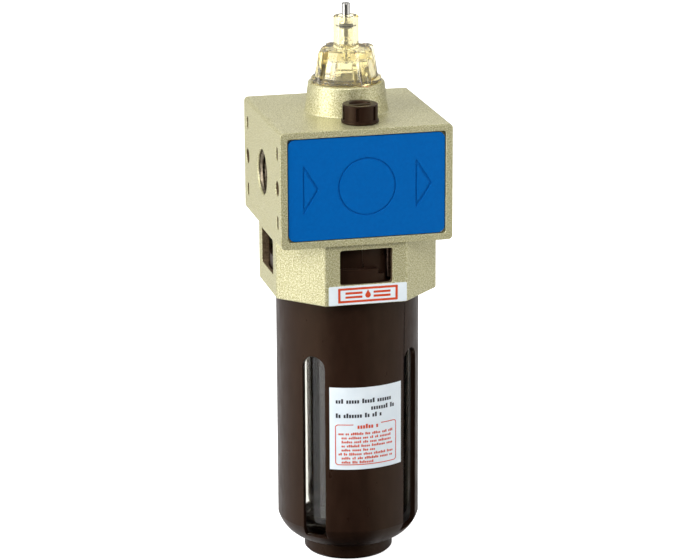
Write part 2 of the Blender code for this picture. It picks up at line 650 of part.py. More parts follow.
def make_lubricator():
    silver = material("champagne_cast_metal", (0.62, 0.58, 0.42), 0.42, 0.6)
    blue = material("blue_plate", (0.0, 0.16, 0.48), 0.35)
    label = material("white_label", (0.86, 0.90, 0.93), 0.4)
    black = material("dark_brown_nylon", (0.045, 0.030, 0.024), 0.32)
    clear = material("clear_polycarbonate", (0.75, 0.78, 0.74), 0.05, alpha=0.4)
    amber = material("clear_amber_polycarbonate", (0.92, 0.86, 0.55), 0.05, alpha=0.5)
    rubber = material("black_rubber", (0.02, 0.02, 0.02), 0.6)
    steel = material("chromed_steel", (0.75, 0.75, 0.73), 0.15, 1.0)
    brass = material("brass", (0.72, 0.55, 0.25), 0.3, 1.0)
    bronze = material("sintered_bronze", (0.50, 0.34, 0.20), 0.75, 0.8)
    nylon = material("natural_nylon", (0.85, 0.84, 0.78), 0.4, alpha=0.8)
    grey = material("grey_acetal", (0.35, 0.36, 0.38), 0.4)

    make_head(silver)
    make_plates(blue)
    make_front_label(label)
    make_stop_pin(steel)
    make_flow_insert(grey)
    make_vane(black, steel, steel)
    make_siphon(brass, steel, nylon, bronze)
    make_charge_valve(brass, steel, steel)

    axis = empty("main_axis", (0, 0, 0))
    make_guard(black, axis)
    make_bowl(clear, axis)
    make_bowl_seal(rubber, axis)
    make_guard_label(label, axis)
    make_drain(brass, rubber, axis)
    make_dome(amber, axis)
    make_dome_seals(rubber, axis)
    make_drip_nozzle(steel, axis)
    make_needle(steel, rubber, axis)
    make_plug(black, rubber)


clear_scene()
make_lubricator()
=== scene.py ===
"""The looks of a compressed-air oil-mist lubricator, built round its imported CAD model.

The object stands on its bowl guard, -Y is the front and air flows from -X to +X. Sizes are in
millimetres here, and add_piece turns them into metres. Extents come from the CAD frame where it
has them, and the rest are the named sizes below.
"""

import random
from math import asin, ceil, cos, floor, pi, radians, sin, tan

import bmesh
import bpy
from mathutils import Matrix, Vector


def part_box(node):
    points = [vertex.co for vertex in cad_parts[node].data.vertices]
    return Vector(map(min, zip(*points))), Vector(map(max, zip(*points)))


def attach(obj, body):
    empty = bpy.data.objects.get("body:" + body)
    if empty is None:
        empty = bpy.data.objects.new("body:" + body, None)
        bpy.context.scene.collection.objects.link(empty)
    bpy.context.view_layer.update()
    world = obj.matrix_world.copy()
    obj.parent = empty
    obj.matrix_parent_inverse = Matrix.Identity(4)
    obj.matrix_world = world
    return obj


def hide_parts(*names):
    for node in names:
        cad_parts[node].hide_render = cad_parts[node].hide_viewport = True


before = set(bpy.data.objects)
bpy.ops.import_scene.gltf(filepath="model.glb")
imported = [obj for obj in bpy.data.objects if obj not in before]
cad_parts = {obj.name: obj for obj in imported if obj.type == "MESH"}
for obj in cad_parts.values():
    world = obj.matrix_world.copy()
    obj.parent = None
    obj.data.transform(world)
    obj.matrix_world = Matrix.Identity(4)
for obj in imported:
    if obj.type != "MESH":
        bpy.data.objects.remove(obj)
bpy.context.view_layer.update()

MM = 0.001


def span(node):
    """A CAD node's lowest and highest corner, in millimetres."""
    low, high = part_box(node)
    return low / MM, high / MM


# ---- Sizes from the frame ----
head_low, head_high = span("head_body")
plate_low, plate_high = span("front_plate")
label_low, label_high = span("front_label")
guard_high = span("bowl_guard")[1]
bowl_low, bowl_high = span("bowl")
patch_low, patch_high = span("guard_label")
dome_low, dome_high = span("sight_dome")
needle_low, needle_high = span("adjusting_needle")
plug_low, plug_high = span("filler_plug")
tube_low, tube_high = span("siphon_tube")
drain_low = span("drain_screw")[0]
pin_low, pin_high = span("bayonet_stop_pin")
nozzle_low, nozzle_high = span("drip_nozzle")

HEAD_HALF = head_high.x
FLOW_Z = 0.5 * (plate_low.z + plate_high.z)
HEAD_TOP = FLOW_Z + 27.0
HEAD_BOTTOM = FLOW_Z - 27.0
SKIRT_BOTTOM = head_low.z
NECK_TOP = head_high.z
PLATE_WIDTH = plate_high.x - plate_low.x
PLATE_HEIGHT = plate_high.z - plate_low.z
GUARD_TOP = guard_high.z
BOWL_TOP = bowl_high.z
FLANGE_R = bowl_high.x
DOME_SEAT = NECK_TOP + 0.3
DOME_TOP = dome_high.z
NEEDLE_TOP = needle_high.z
PLUG_Y = 0.5 * (plug_low.y + plug_high.y)
PLUG_TOP = plug_high.z
SIPHON_Y = 0.5 * (tube_low.y + tube_high.y)

# ---- Sizes of the head ----
HEAD_EDGE = 2.0
SKIRT_HALF, SKIRT_CORNER = 38.0, 19.0
NECK_BASE_R, NECK_TOP_R = 19.1, 17.7
RECESS_DEPTH, RECESS_MARGIN = 2.6, 0.4
THREAD_R, THREAD_PITCH, THREAD_DEPTH = 10.45, 1.81, 1.1
PORT_MOUTH_R, PORT_DEPTH, MAIN_BORE_R = 10.9, 18.0, 9.0
SIDE_COLUMN_Y, SIDE_SLOT_RISE = 32.5, 16.0
SIDE_MARK_DEPTH, SIDE_HOLE_R = 5.0, 3.5
SIDE_SLOT = (2 * SIDE_MARK_DEPTH, 3.6, 5.8)
WINDOW_WIDTH = 24.5
WINDOW_LOW, WINDOW_HIGH = 140.4, 156.7
CAVITY_R, CAVITY_TOP = 36.4, 157.6
LEDGE_R, LEDGE_TOP = 33.9, 137.0

# ---- Sizes of the guard and the bowl ----
GUARD_R, GUARD_WALL = 33.4, 2.5
GUARD_TURN = 3.0  # degrees that the locked guard stands past square
SHOULDER_Z = 18.5
BOSS_R, BOSS_TOP = 20.9, 7.0
SLOT_WIDTH, SLOT_FLOOR, SLOT_TOP = 11.6, 14.2, 103.4
LUG_R, LUG_ROOT_R, LUG_TOP = 36.0, 32.4, 146.8
LUG_ANGLE, LUG_CENTRE, HEEL_END = 33.0, -6.5, 15.0
UNLOCK_ANGLE = 45.0
BOWL_R, BOWL_WALL, BOWL_BOTTOM = 29.0, 5.8, 14.6
BOWL_BORE_R, BOWL_BORE_TOP = 28.8, 168.4
BOWL_NECK_R, SEAL_GROOVE_R = 28.5, 25.9
STOP_ANGLE, STOP_R, STOP_PIN_R = 19.5, 34.9, 1.2
PATCH_R = GUARD_R + 0.1
PATCH_FIRST, PATCH_LAST = -28.0, 33.8  # degrees from the front
PATCH_TURN = 180 / (pi * PATCH_R)  # degrees per millimetre
PATCH_LINE, PATCH_CORNER = 0.42, 1.5

# ---- Sizes of the dome, the needle and the plug ----
DOME_SHOULDER, DOME_TUBE_R = 242.8, 5.8
LOBE_TURN = 21.0
NEEDLE_R, NEEDLE_BORE_R, NEEDLE_SEAL_Z = 1.9, 3.35, 253.1
PLUG_R, PLUG_FLANGE_R, PLUG_BORE_R = 8.1, 8.6, 6.3

# ---- Facets ----
SMALL, ROUND, LARGE = 32, 64, 144

# ---- Studio ----
CAMERA_AZIMUTH, CAMERA_ELEVATION = -13.53, 15.98
CAMERA_LENS, CAMERA_DISTANCE, CAMERA_LEAN = 153.8, 1400.0, -0.24
AIM_HEIGHT, AIM_RIGHT = 131.8, 1.36
FADE_START, FADE_END = 0.72, 0.93  # cosines of the angle from the camera's direction
FLOOR_GLOW, SIDE_GLOW, FRONT_GLOW = 0.95, 0.38, 0.02
PALE_FLOOR, DIM_FLOOR = 0.80, 0.03
MIRRORED_GLOW = 0.85


# ---- Mesh helpers, in millimetres ----
def arc(centre, radius, start, end, steps):
    """Points on a circle from one angle to another, in degrees."""
    angles = [radians(start + (end - start) * i / steps) for i in range(steps + 1)]
    return [(centre[0] + radius * cos(a), centre[1] + radius * sin(a)) for a in angles]


def filleted(points, radius, steps=3, has_axis=True):
    """A closed outline with its corners rounded, except those on the axis of a turning."""
    made = []
    for i, here in enumerate(points):
        before, after = Vector(points[i - 1]), Vector(points[(i + 1) % len(points)])
        corner = Vector(here)
        a, b = before - corner, after - corner
        turn = a.angle(b, pi)
        if (has_axis and corner.x < 1e-6) or turn > radians(165):
            made.append(tuple(here))
            continue
        reach = min(radius / tan(0.5 * turn), 0.45 * a.length, 0.45 * b.length)
        start, end = corner + a.normalized() * reach, corner + b.normalized() * reach
        for k in range(steps + 1):
            t = k / steps
            point = start * (1 - t) ** 2 + corner * (2 * t * (1 - t)) + end * t**2
            made.append((point.x, point.y))
    return made


def bulged(start, end, bulge, steps):
    """Points on an arc from start to end that stands off its chord by bulge times the chord."""
    chord = Vector(end) - Vector(start)
    side = Vector((-chord.y, chord.x)).normalized()
    height = bulge * chord.length
    radius = (0.25 * chord.length**2 + height**2) / (2 * height)
    centre = Vector(start) + 0.5 * chord + side * (height - radius)
    half = asin(0.5 * chord.length / abs(radius)) * (1 if bulge > 0 else -1)
    spoke = Vector(start) + 0.5 * chord + side * height - centre
    points = []
    for i in range(steps + 1):
        t = half * (1 - 2 * i / steps)
        points.append((centre.x + spoke.x * cos(t) - spoke.y * sin(t),
                       centre.y + spoke.x * sin(t) + spoke.y * cos(t)))
    return points


def turned(profile, steps, axis="Z"):
    """A closed (radius, height) outline turned about an axis, where points at radius 0 lie."""
    bm = bmesh.new()
    rings = []
    for radius, height in profile:
        if radius < 1e-6:
            rings.append([bm.verts.new((0, 0, height))])
            continue
        turns = [2 * pi * k / steps for k in range(steps)]
        rings.append([bm.verts.new((radius * cos(t), radius * sin(t), height)) for t in turns])
    for low, high in zip(rings, rings[1:] + rings[:1]):
        for k in range(steps):
            after = (k + 1) % steps
            places = (low, k), (low, after), (high, after), (high, k)
            corners = list(dict.fromkeys(ring[i % len(ring)] for ring, i in places))
            if len(corners) > 2:
                bm.faces.new(corners)
    if axis == "X":
        return moved(bm, turn=90, axis="Y")
    if axis == "Y":
        return moved(bm, turn=-90, axis="X")
    return bm


def moved(bm, by=(0, 0, 0), turn=0, axis="Z"):
    """A mesh turned some degrees about an axis through the origin and then moved."""
    bm.transform(Matrix.Translation(by) @ Matrix.Rotation(radians(turn), 4, axis))
    return bm


def rod(radius, low, high, steps=ROUND, axis="Z", edge=0.0):
    outline = [(0, high), (radius, high), (radius, low), (0, low)]
    return turned(filleted(outline, edge) if edge else outline, steps, axis)


def ring_seal(major, minor, height, steps=96, sides=20):
    """An O-ring about the Z axis."""
    return turned(arc((major, height), minor, 0, 360, sides)[:-1], steps)


def bridge(bm, ring, after):
    """Faces between two rings with the same number of points."""
    for i in range(len(ring)):
        bm.faces.new((ring[i - 1], ring[i], after[i], after[i - 1]))


def extruded(outline, low, high):
    """A flat (x, y) outline drawn up from height low to height high."""
    bm = bmesh.new()
    bottom = [bm.verts.new((x, y, low)) for x, y in outline]
    top = [bm.verts.new((x, y, high)) for x, y in outline]
    bm.faces.new(bottom)
    bm.faces.new(top)
    bridge(bm, bottom, top)
    return bm


def band(outer, inner, low, high):
    """The space between two outlines with the same number of points, from height low to high."""
    bm = bmesh.new()
    loops = []
    for outline, height in ((outer, low), (outer, high), (inner, high), (inner, low)):
        loops.append([bm.verts.new((x, y, height)) for x, y in outline])
    for loop, after in zip(loops, loops[1:] + loops[:1]):
        bridge(bm, loop, after)
    return bm


def round_all(bm, radius, segments=3):
    edges = bm.edges[:]
    bmesh.ops.bevel(bm, geom=edges, offset=radius, segments=segments, affect="EDGES", profile=0.5)


def block(size, centre, edge=0.0, segments=3):
    bm = bmesh.new()
    bmesh.ops.create_cube(bm, size=1.0)
    bm.transform(Matrix.Translation(centre) @ Matrix.Diagonal((*size, 1.0)))
    if edge:
        round_all(bm, edge, segments)
    return bm


def rounded_outline(width, height, radius, steps=6):
    """A rectangle with round corners, about (0, 0)."""
    outline = []
    for start, x, y in ((0, 1, 1), (90, -1, 1), (180, -1, -1), (270, 1, -1)):
        centre = (x * (0.5 * width - radius), y * (0.5 * height - radius))
        outline += arc(centre, radius, start, start + 90, steps)
    return outline


def from_front(angle, radius):
    """The place at this angle in degrees from the front, -Y, towards +X."""
    return radius * sin(radians(angle)), -radius * cos(radians(angle))


def sector(inner, outer, first, last, low, high, steps=12):
    """A piece of a ring between two angles from the front."""
    outline = arc((0, 0), outer, first - 90, last - 90, steps)
    outline += arc((0, 0), inner, last - 90, first - 90, steps)
    return extruded(outline, low, high)


def coil(radius, wire, low, high, turns, sides=10, per_turn=28):
    """A closed helical wire about the Z axis."""
    bm = bmesh.new()
    count = int(turns * per_turn)
    rings = []
    for i in range(count + 1):
        angle = 2 * pi * i / per_turn
        height = low + wire + (high - low - 2 * wire) * i / count
        ring = []
        for k in range(sides):
            tilt = 2 * pi * k / sides
            reach = radius + wire * cos(tilt)
            z = height + wire * sin(tilt)
            ring.append(bm.verts.new((reach * cos(angle), reach * sin(angle), z)))
        rings.append(ring)
    for before, ring in zip(rings, rings[1:]):
        bridge(bm, ring, before)
    bm.faces.new(rings[0])
    bm.faces.new(rings[-1])
    return bm


def thread_sleeve(start, end, steps=72):
    """A sleeve about Z whose bore is the port's helical V thread, between two heights."""
    bm = bmesh.new()
    turns = [2 * pi * k / steps for k in range(steps)]
    rows = int((end - start) / THREAD_PITCH * 8)
    rings = []
    for j in range(rows + 1):
        height = start + (end - start) * j / rows
        lead = min(1.0, (height - start) / THREAD_PITCH, (end - height) / THREAD_PITCH)
        ring = []
        for k, t in enumerate(turns):
            turn = (height - start) / THREAD_PITCH - k / steps
            ridge = 1 - abs(2 * (turn - floor(turn)) - 1)
            reach = THREAD_R - THREAD_DEPTH * lead * min(1.0, 1.25 * ridge)
            ring.append(bm.verts.new((reach * cos(t), reach * sin(t), height)))
        rings.append(ring)
    reach = THREAD_R + 0.15
    for height in (end, start):
        rings.append([bm.verts.new((reach * cos(t), reach * sin(t), height)) for t in turns])
    for before, ring in zip(rings, rings[1:] + rings[:1]):
        bridge(bm, ring, before)
    return bm


def joined(shapes):
    """Several meshes as one."""
    whole = bmesh.new()
    for shape in shapes:
        mesh = bpy.data.meshes.new("shape")
        shape.to_mesh(mesh)
        shape.free()
        whole.from_mesh(mesh)
        bpy.data.meshes.remove(mesh)
    return whole


def raw_object(name, bm, place=(0, 0, 0)):
    """Turns a mesh in millimetres into an object in metres."""
    bm.normal_update()
    bmesh.ops.recalc_face_normals(bm, faces=bm.faces)
    bm.transform(Matrix.Scale(MM, 4))
    mesh = bpy.data.meshes.new(name)
    bm.to_mesh(mesh)
    bm.free()
    made = bpy.data.objects.new(name, mesh)
    made.location = Vector(place) * MM
    bpy.context.scene.collection.objects.link(made)
    return made


def shaped(name, bm, cuts=(), adds=(), edge=0.0, place=(0, 0, 0), segments=2, angle=38):
    """An object with shapes cut from it and added to it, and its sharp edges rounded."""
    made = raw_object(name, bm, place)
    helpers = []
    for operation, shapes in (("UNION", adds), ("DIFFERENCE", cuts)):
        for shape in shapes:
            other = raw_object("helper", shape, place)
            step = made.modifiers.new(operation.title(), "BOOLEAN")
            step.operation = operation
            step.solver = "EXACT"
            step.object = other
            helpers.append(other)
    bake(made)
    for other in helpers:
        bpy.data.objects.remove(other, do_unlink=True)
    clean(made.data)
    if edge:
        step = made.modifiers.new("Edge", "BEVEL")
        step.width = edge * MM
        step.segments = segments
        step.limit_method = "ANGLE"
        step.angle_limit = radians(angle)
        step.use_clamp_overlap = False
        step.miter_outer = "MITER_ARC"
        bake(made)
    return made


def bake(made):
    """Applies an object's modifiers to its mesh."""
    bpy.context.view_layer.update()
    graph = bpy.context.evaluated_depsgraph_get()
    mesh = bpy.data.meshes.new_from_object(made.evaluated_get(graph))
    made.modifiers.clear()
    made.data = mesh


def clean(mesh):
    """Merges the slivers that cutting leaves, so that the edges round evenly."""
    bm = bmesh.new()
    bm.from_mesh(mesh)
    bmesh.ops.remove_doubles(bm, verts=bm.verts, dist=0.01 * MM)
    bmesh.ops.dissolve_degenerate(bm, edges=bm.edges, dist=0.005 * MM)
    bm.to_mesh(mesh)
    bm.free()


def add_piece(made, look, body, nodes=(), sharp=32):
    """Finishes a piece: its shading, its material, and what it rides on and stands for."""
    if isinstance(made, tuple):
        made = raw_object(*made)
    made.data.materials.clear()
    made.data.materials.append(look)
    made.data.shade_smooth()
    made.data.set_sharp_from_angle(angle=radians(sharp))
    even = made.modifiers.new("Even shading", "WEIGHTED_NORMAL")
    even.keep_sharp = True
    even.weight = 80
    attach(made, body)
    if nodes:
        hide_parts(*nodes)
    return made


# ---- Materials ----
def added(nodes, kind, **values):
    """A shader node with some sockets set. An underscore stands for a space in their names."""
    made = nodes.new("ShaderNode" + kind)
    for socket, value in values.items():
        made.inputs[socket.replace("_", " ")].default_value = value
    return made


class Look:
    """A Principled material whose colour, roughness and bump come from noise in object space."""

    def __init__(self, name, colour, roughness, **sockets):
        self.material = bpy.data.materials.new(name)
        self.material.use_nodes = True
        self.nodes = self.material.node_tree.nodes
        self.links = self.material.node_tree.links
        self.shader = self.nodes["Principled BSDF"]
        self.place = added(self.nodes, "TexCoord").outputs["Object"]
        self.shader.inputs["Base Color"].default_value = (*colour, 1.0)
        self.shader.inputs["Roughness"].default_value = roughness
        self.normal = None
        for socket, value in sockets.items():
            self.shader.inputs[socket.replace("_", " ")].default_value = value

    def noise(self, grain, detail=3.0, stretch=(1, 1, 1)):
        """Noise whose blobs are about grain millimetres across."""
        mapping = added(self.nodes, "Mapping", Scale=stretch)
        self.links.new(self.place, mapping.inputs["Vector"])
        made = added(self.nodes, "TexNoise", Scale=1 / (grain * MM), Detail=detail)
        self.links.new(mapping.outputs["Vector"], made.inputs["Vector"])
        return made.outputs["Fac"]

    def rings(self, pitch):
        """Fine turning marks, pitch millimetres apart along Z."""
        made = added(self.nodes, "TexWave", Scale=0.314 / (pitch * MM), Distortion=0.4)
        made.bands_direction = "Z"
        self.links.new(self.place, made.inputs["Vector"])
        return made.outputs["Fac"]

    def paint(self, source, stops):
        """Colour that goes through these stops as the source rises."""
        made = added(self.nodes, "ValToRGB")
        while len(made.color_ramp.elements) < len(stops):
            made.color_ramp.elements.new(0.5)
        for element, (position, colour) in zip(made.color_ramp.elements, stops):
            element.position = position
            element.color = (*colour, 1.0)
        self.links.new(source, made.inputs["Fac"])
        self.links.new(made.outputs["Color"], self.shader.inputs["Base Color"])
        return self

    def gloss(self, source, low, high):
        """Roughness between two values as the source goes from 0.3 to 0.7."""
        made = added(self.nodes, "MapRange", From_Min=0.3, From_Max=0.7, To_Min=low, To_Max=high)
        self.links.new(source, made.inputs["Value"])
        self.links.new(made.outputs["Result"], self.shader.inputs["Roughness"])
        return self

    def bump(self, source, height, strength=1.0):
        """Relief that is height millimetres deep, over any that is there already."""
        made = added(self.nodes, "Bump", Distance=height * MM, Strength=strength)
        self.links.new(source, made.inputs["Height"])
        if self.normal:
            self.links.new(self.normal, made.inputs["Normal"])
        self.normal = made.outputs["Normal"]
        self.links.new(self.normal, self.shader.inputs["Normal"])
        return self

    def tint(self, colour, density):
        """Colour that deepens with the thickness that light passes through."""
        made = added(self.nodes, "VolumeAbsorption", Color=(*colour, 1.0), Density=density)
        self.links.new(made.outputs["Volume"], self.nodes["Material Output"].inputs["Volume"])
        return self


def cast_metal():
    look = Look("cast_metal", (0.60, 0.56, 0.32), 0.42, Metallic=0.45, Specular_IOR_Level=0.8)
    look.paint(look.noise(0.5, 2.0), (
        (0.34, (0.32, 0.29, 0.13)), (0.49, (0.525, 0.49, 0.255)), (0.63, (0.76, 0.73, 0.50)),
    ))
    look.gloss(look.noise(2.4), 0.34, 0.50)
    return look.bump(look.noise(0.5, 2.0), 0.13, 0.9).bump(look.noise(9.0), 0.12, 0.3).material


# Painted shade: a dark brown that stands in for the shadow inside the side marks and on the
# windows' walls.
def painted_recess_shade():
    look = Look("painted_recess_shade", (0.16, 0.11, 0.065), 0.5, Metallic=0.3)
    look.paint(look.noise(0.7), ((0.3, (0.10, 0.065, 0.035)), (0.7, (0.22, 0.155, 0.09))))
    return look.gloss(look.noise(1.5), 0.42, 0.6).bump(look.noise(0.5), 0.05, 0.5).material


def machined_metal():
    look = Look("machined_metal", (0.40, 0.37, 0.28), 0.3, Metallic=0.9)
    look.paint(look.noise(1.6), ((0.3, (0.08, 0.06, 0.04)), (0.7, (0.26, 0.22, 0.16))))
    return look.gloss(look.noise(0.8), 0.25, 0.45).bump(look.noise(0.4), 0.02, 0.4).material


def blue_plate():
    look = Look("blue_plate", (0.0, 0.112, 0.42), 0.4, Specular_IOR_Level=0.08)
    look.paint(look.noise(1.2, 5.0), ((0.3, (0.0, 0.106, 0.395)), (0.7, (0.0, 0.119, 0.43))))
    return look.gloss(look.noise(3.0), 0.38, 0.48).bump(look.noise(0.7), 0.012, 0.3).material


def dark_nylon():
    look = Look("dark_nylon", (0.03, 0.016, 0.010), 0.33, Specular_IOR_Level=0.24)
    look.shader.inputs["Specular Tint"].default_value = (1.0, 0.72, 0.48, 1.0)
    look.paint(look.noise(5.0, 5.0, (1, 1, 0.35)), (
        (0.3, (0.0145, 0.0062, 0.0038)), (0.7, (0.0215, 0.0098, 0.006)),
    ))
    look.gloss(look.noise(4.0, 4.0, (1, 1, 0.4)), 0.27, 0.42)
    return look.bump(look.noise(0.6), 0.012, 0.4).bump(look.noise(14.0, 2.0), 0.25, 0.12).material


def label_film():
    look = Look("label_film", (0.80, 0.88, 0.93), 0.34, Specular_IOR_Level=0.3)
    look.paint(look.noise(7.0, 4.0), ((0.3, (0.77, 0.85, 0.90)), (0.7, (0.84, 0.91, 0.95))))
    return look.gloss(look.noise(2.0), 0.28, 0.42).bump(look.noise(1.2), 0.01, 0.3).material


def ink(name, colour):
    look = Look(name, colour, 0.4)
    lighter = tuple(min(1.0, c * 1.25 + 0.02) for c in colour)
    return look.paint(look.noise(0.5, 2.0), ((0.35, colour), (0.75, lighter))).material


def metal(name, dark, light, low, high, pitch=0.3):
    """Turned bright metal, with fine rings along Z."""
    look = Look(name, light, low, Metallic=1.0)
    look.paint(look.noise(2.0), ((0.3, dark), (0.7, light)))
    return look.gloss(look.noise(1.5), low, high).bump(look.rings(pitch), 0.004, 0.35).material


def rubber(name, colour):
    look = Look(name, colour, 0.55)
    dark, light = (tuple(factor * c for c in colour) for factor in (0.7, 1.4))
    look.paint(look.noise(1.0), ((0.3, dark), (0.7, light)))
    return look.gloss(look.noise(0.8), 0.42, 0.62).bump(look.noise(0.35), 0.02, 0.5).material


def sintered_bronze():
    look = Look("sintered_bronze", (0.45, 0.28, 0.13), 0.6, Metallic=0.85)
    look.paint(look.noise(0.35), ((0.35, (0.16, 0.09, 0.04)), (0.6, (0.55, 0.36, 0.18))))
    return look.gloss(look.noise(0.5), 0.5, 0.75).bump(look.noise(0.35, 2.0), 0.15, 0.9).material


def nylon_tube():
    look = Look("nylon_tube", (0.85, 0.84, 0.76), 0.3, Transmission_Weight=0.45, IOR=1.5)
    stops = (0.3, (0.78, 0.77, 0.68)), (0.7, (0.90, 0.89, 0.82))
    look.paint(look.noise(4.0, 3.0, (1, 1, 0.2)), stops)
    return look.gloss(look.noise(2.0), 0.25, 0.4).material


def grey_acetal():
    look = Look("grey_acetal", (0.33, 0.34, 0.35), 0.42)
    look.paint(look.noise(3.0), ((0.3, (0.28, 0.29, 0.30)), (0.7, (0.36, 0.37, 0.38))))
    return look.gloss(look.noise(1.5), 0.36, 0.5).bump(look.noise(0.5), 0.01, 0.4).material


def clear_bowl():
    look = Look("clear_bowl", (0.97, 0.98, 0.97), 0.04, Transmission_Weight=1.0, IOR=1.58)
    look.gloss(look.noise(6.0, 4.0, (1, 1, 0.3)), 0.03, 0.09)
    look.bump(look.noise(16.0, 2.0, (1, 1, 0.25)), 0.3, 0.10)
    return look.tint((0.80, 0.70, 0.50), 30.0).material


def amber_dome():
    look = Look("amber_dome", (1.0, 0.97, 0.80), 0.03, Transmission_Weight=0.92, IOR=1.42)
    look.gloss(look.noise(5.0, 4.0), 0.02, 0.08)
    look.bump(look.noise(7.0, 2.0), 0.2, 0.15)
    return look.tint((1.0, 0.86, 0.22), 45.0).material


# ---- Head ----
def in_recess(centre):
    """Whether a point on the casting is inside a side mark or on a window's wall, where shade is
    painted.
    """
    depth = HEAD_HALF - abs(centre.x)
    if 0.3 < depth < 8 and abs(abs(centre.y) - SIDE_COLUMN_Y) < 4 and centre.z > HEAD_BOTTOM + 4:
        return centre.z < HEAD_TOP - 4
    in_height = WINDOW_LOW - 0.3 < centre.z < WINDOW_HIGH + 0.3
    beside = min(abs(centre.x), abs(centre.y)) < 0.5 * WINDOW_WIDTH + 0.3
    far = max(abs(centre.x), abs(centre.y))
    return in_height and beside and CAVITY_R * 0.93 < far < SKIRT_HALF - 0.3


def make_head(look, thread_look, painted_shade_look):
    """The casting: block, eight-sided skirt and neck, with all its recesses, bores and windows."""
    outline = rounded_outline(2 * HEAD_HALF, HEAD_TOP - HEAD_BOTTOM, HEAD_EDGE)
    body = moved(extruded(outline, -HEAD_HALF, HEAD_HALF), (0, 0, FLOW_Z), 90, "X")
    adds = [skirt(), neck()]
    made = shaped("head_casting", body, adds=adds, cuts=head_cuts(), edge=0.4, segments=3)
    add_piece(made, look, "head", ["head_body"], sharp=28)
    # Faces in the side marks and on the windows' walls get the painted shade, a dark brown for the
    # shadow in them.
    made.data.materials.append(painted_shade_look)
    for face in made.data.polygons:
        face.material_index = int(in_recess(face.center / MM))
    for name, side in (("inlet_thread", -1), ("outlet_thread", 1)):
        inner, outer = HEAD_HALF - PORT_DEPTH, HEAD_HALF - 0.9
        sleeve = moved(thread_sleeve(inner, outer), turn=90 * side, axis="Y")
        add_piece((name, sleeve, (0, 0, FLOW_Z)), thread_look, "head")


def skirt():
    a, b = SKIRT_CORNER, SKIRT_HALF
    corners = [(-a, -b), (a, -b), (b, -a), (b, a), (a, b), (-a, b), (-b, a), (-b, -a)]
    bm = extruded(corners, SKIRT_BOTTOM, HEAD_BOTTOM + 3)
    round_all(bm, 0.9)
    return bm


def neck():
    """The tapered neck, with a round root where it meets the block."""
    flare = 1.0
    outline = [(0, NECK_TOP), (NECK_TOP_R - 0.9, NECK_TOP)]
    outline += arc((NECK_TOP_R - 0.9, NECK_TOP - 0.9), 0.9, 80, 5, 5)
    root = arc((NECK_BASE_R + flare, HEAD_TOP + flare), flare, 185, 268, 6)
    outline += root + [(NECK_BASE_R + flare, HEAD_TOP - 1), (0, HEAD_TOP - 1)]
    return turned(outline, LARGE)


def head_cuts():
    """Every shape that is cut out of the casting."""
    cuts = []
    size = (PLATE_WIDTH + 2 * RECESS_MARGIN, PLATE_HEIGHT + 2 * RECESS_MARGIN)
    for side in (-1, 1):
        recess = extruded(rounded_outline(*size, 1.2), HEAD_HALF - RECESS_DEPTH, HEAD_HALF + 2)
        cuts.append(moved(recess, (0, 0, FLOW_Z), -90 * side, "X"))
    cuts.append(port_cut())
    outline = [(0, BOWL_BORE_TOP), (BOWL_BORE_R, BOWL_BORE_TOP), (BOWL_BORE_R, CAVITY_TOP)]
    outline += [(CAVITY_R, CAVITY_TOP), (CAVITY_R, LEDGE_TOP), (LEDGE_R, LEDGE_TOP)]
    outline += [(LEDGE_R, SKIRT_BOTTOM + 0.6), (LEDGE_R + 0.8, SKIRT_BOTTOM - 0.4)]
    cuts.append(turned(outline + [(0, SKIRT_BOTTOM - 0.4)], LARGE))
    cuts += notch_cuts() + window_cuts() + small_cuts() + side_mark_cuts()
    seat, floor_z = NECK_TOP - 2, dome_low.z - 1.4
    outline = [(0, NECK_TOP + 1), (15.4, NECK_TOP + 1), (15.4, seat), (13.3, seat), (13.3, floor_z)]
    outline += [(6.0, floor_z), (2.2, floor_z - 4), (2.2, FLOW_Z + 4), (0, FLOW_Z + 4)]
    cuts.append(turned(outline, ROUND))
    return cuts


def port_cut():
    mouth = HEAD_HALF - (PORT_MOUTH_R - THREAD_R)
    outline = [(0, HEAD_HALF + 1), (PORT_MOUTH_R, HEAD_HALF + 1), (PORT_MOUTH_R, HEAD_HALF)]
    outline += [(THREAD_R, mouth), (THREAD_R, HEAD_HALF - PORT_DEPTH - 0.4)]
    outline += [(MAIN_BORE_R, HEAD_HALF - PORT_DEPTH - 1.6)]
    outline += [(r, -x) for r, x in reversed(outline)]
    return moved(turned(outline, 96, "X"), (0, 0, FLOW_Z))


def notch_cuts():
    """The four gaps in the ledge that the guard's lugs enter through."""
    first = LUG_CENTRE - UNLOCK_ANGLE - 0.5 * LUG_ANGLE - 2
    last = HEEL_END - UNLOCK_ANGLE + 2
    reach = CAVITY_R - 0.02
    return [
        sector(LEDGE_R - 2, reach, first + 90 * k, last + 90 * k, SKIRT_BOTTOM - 1, LEDGE_TOP + 1)
        for k in range(4)
    ]


def window_cuts():
    cuts = []
    outline = rounded_outline(WINDOW_WIDTH, WINDOW_HIGH - WINDOW_LOW, 1.1)
    middle = 0.5 * (WINDOW_LOW + WINDOW_HIGH)
    for quarter in range(0, 360, 90):
        window = moved(extruded(outline, 30, SKIRT_HALF + 2), (0, 0, middle), 90, "X")
        cuts.append(moved(window, turn=quarter))
    return cuts


def small_cuts():
    """The filler's bore and spot face, the oil and air ways, and the stop pin's hole."""
    x, y = from_front(STOP_ANGLE, STOP_R)
    wanted = (
        (PLUG_FLANGE_R + 0.55, HEAD_TOP + 0.02, NECK_TOP + 1, 0, PLUG_Y),
        (PLUG_BORE_R, HEAD_TOP - 10, HEAD_TOP + 1, 0, PLUG_Y),
        (2.5, BOWL_BORE_TOP - 1, HEAD_TOP - 9.4, 0, PLUG_Y + 3.1),
        (STOP_PIN_R + 0.1, CAVITY_TOP - 1, pin_high.z + 0.4, x, y),
        (4.5, BOWL_BORE_TOP - 1, 174.4, 0, SIPHON_Y),
        (3.4, BOWL_BORE_TOP - 1, 175.4, -16.0, 0),
    )
    return [moved(rod(radius, low, high), (x, y, 0)) for radius, low, high, x, y in wanted]


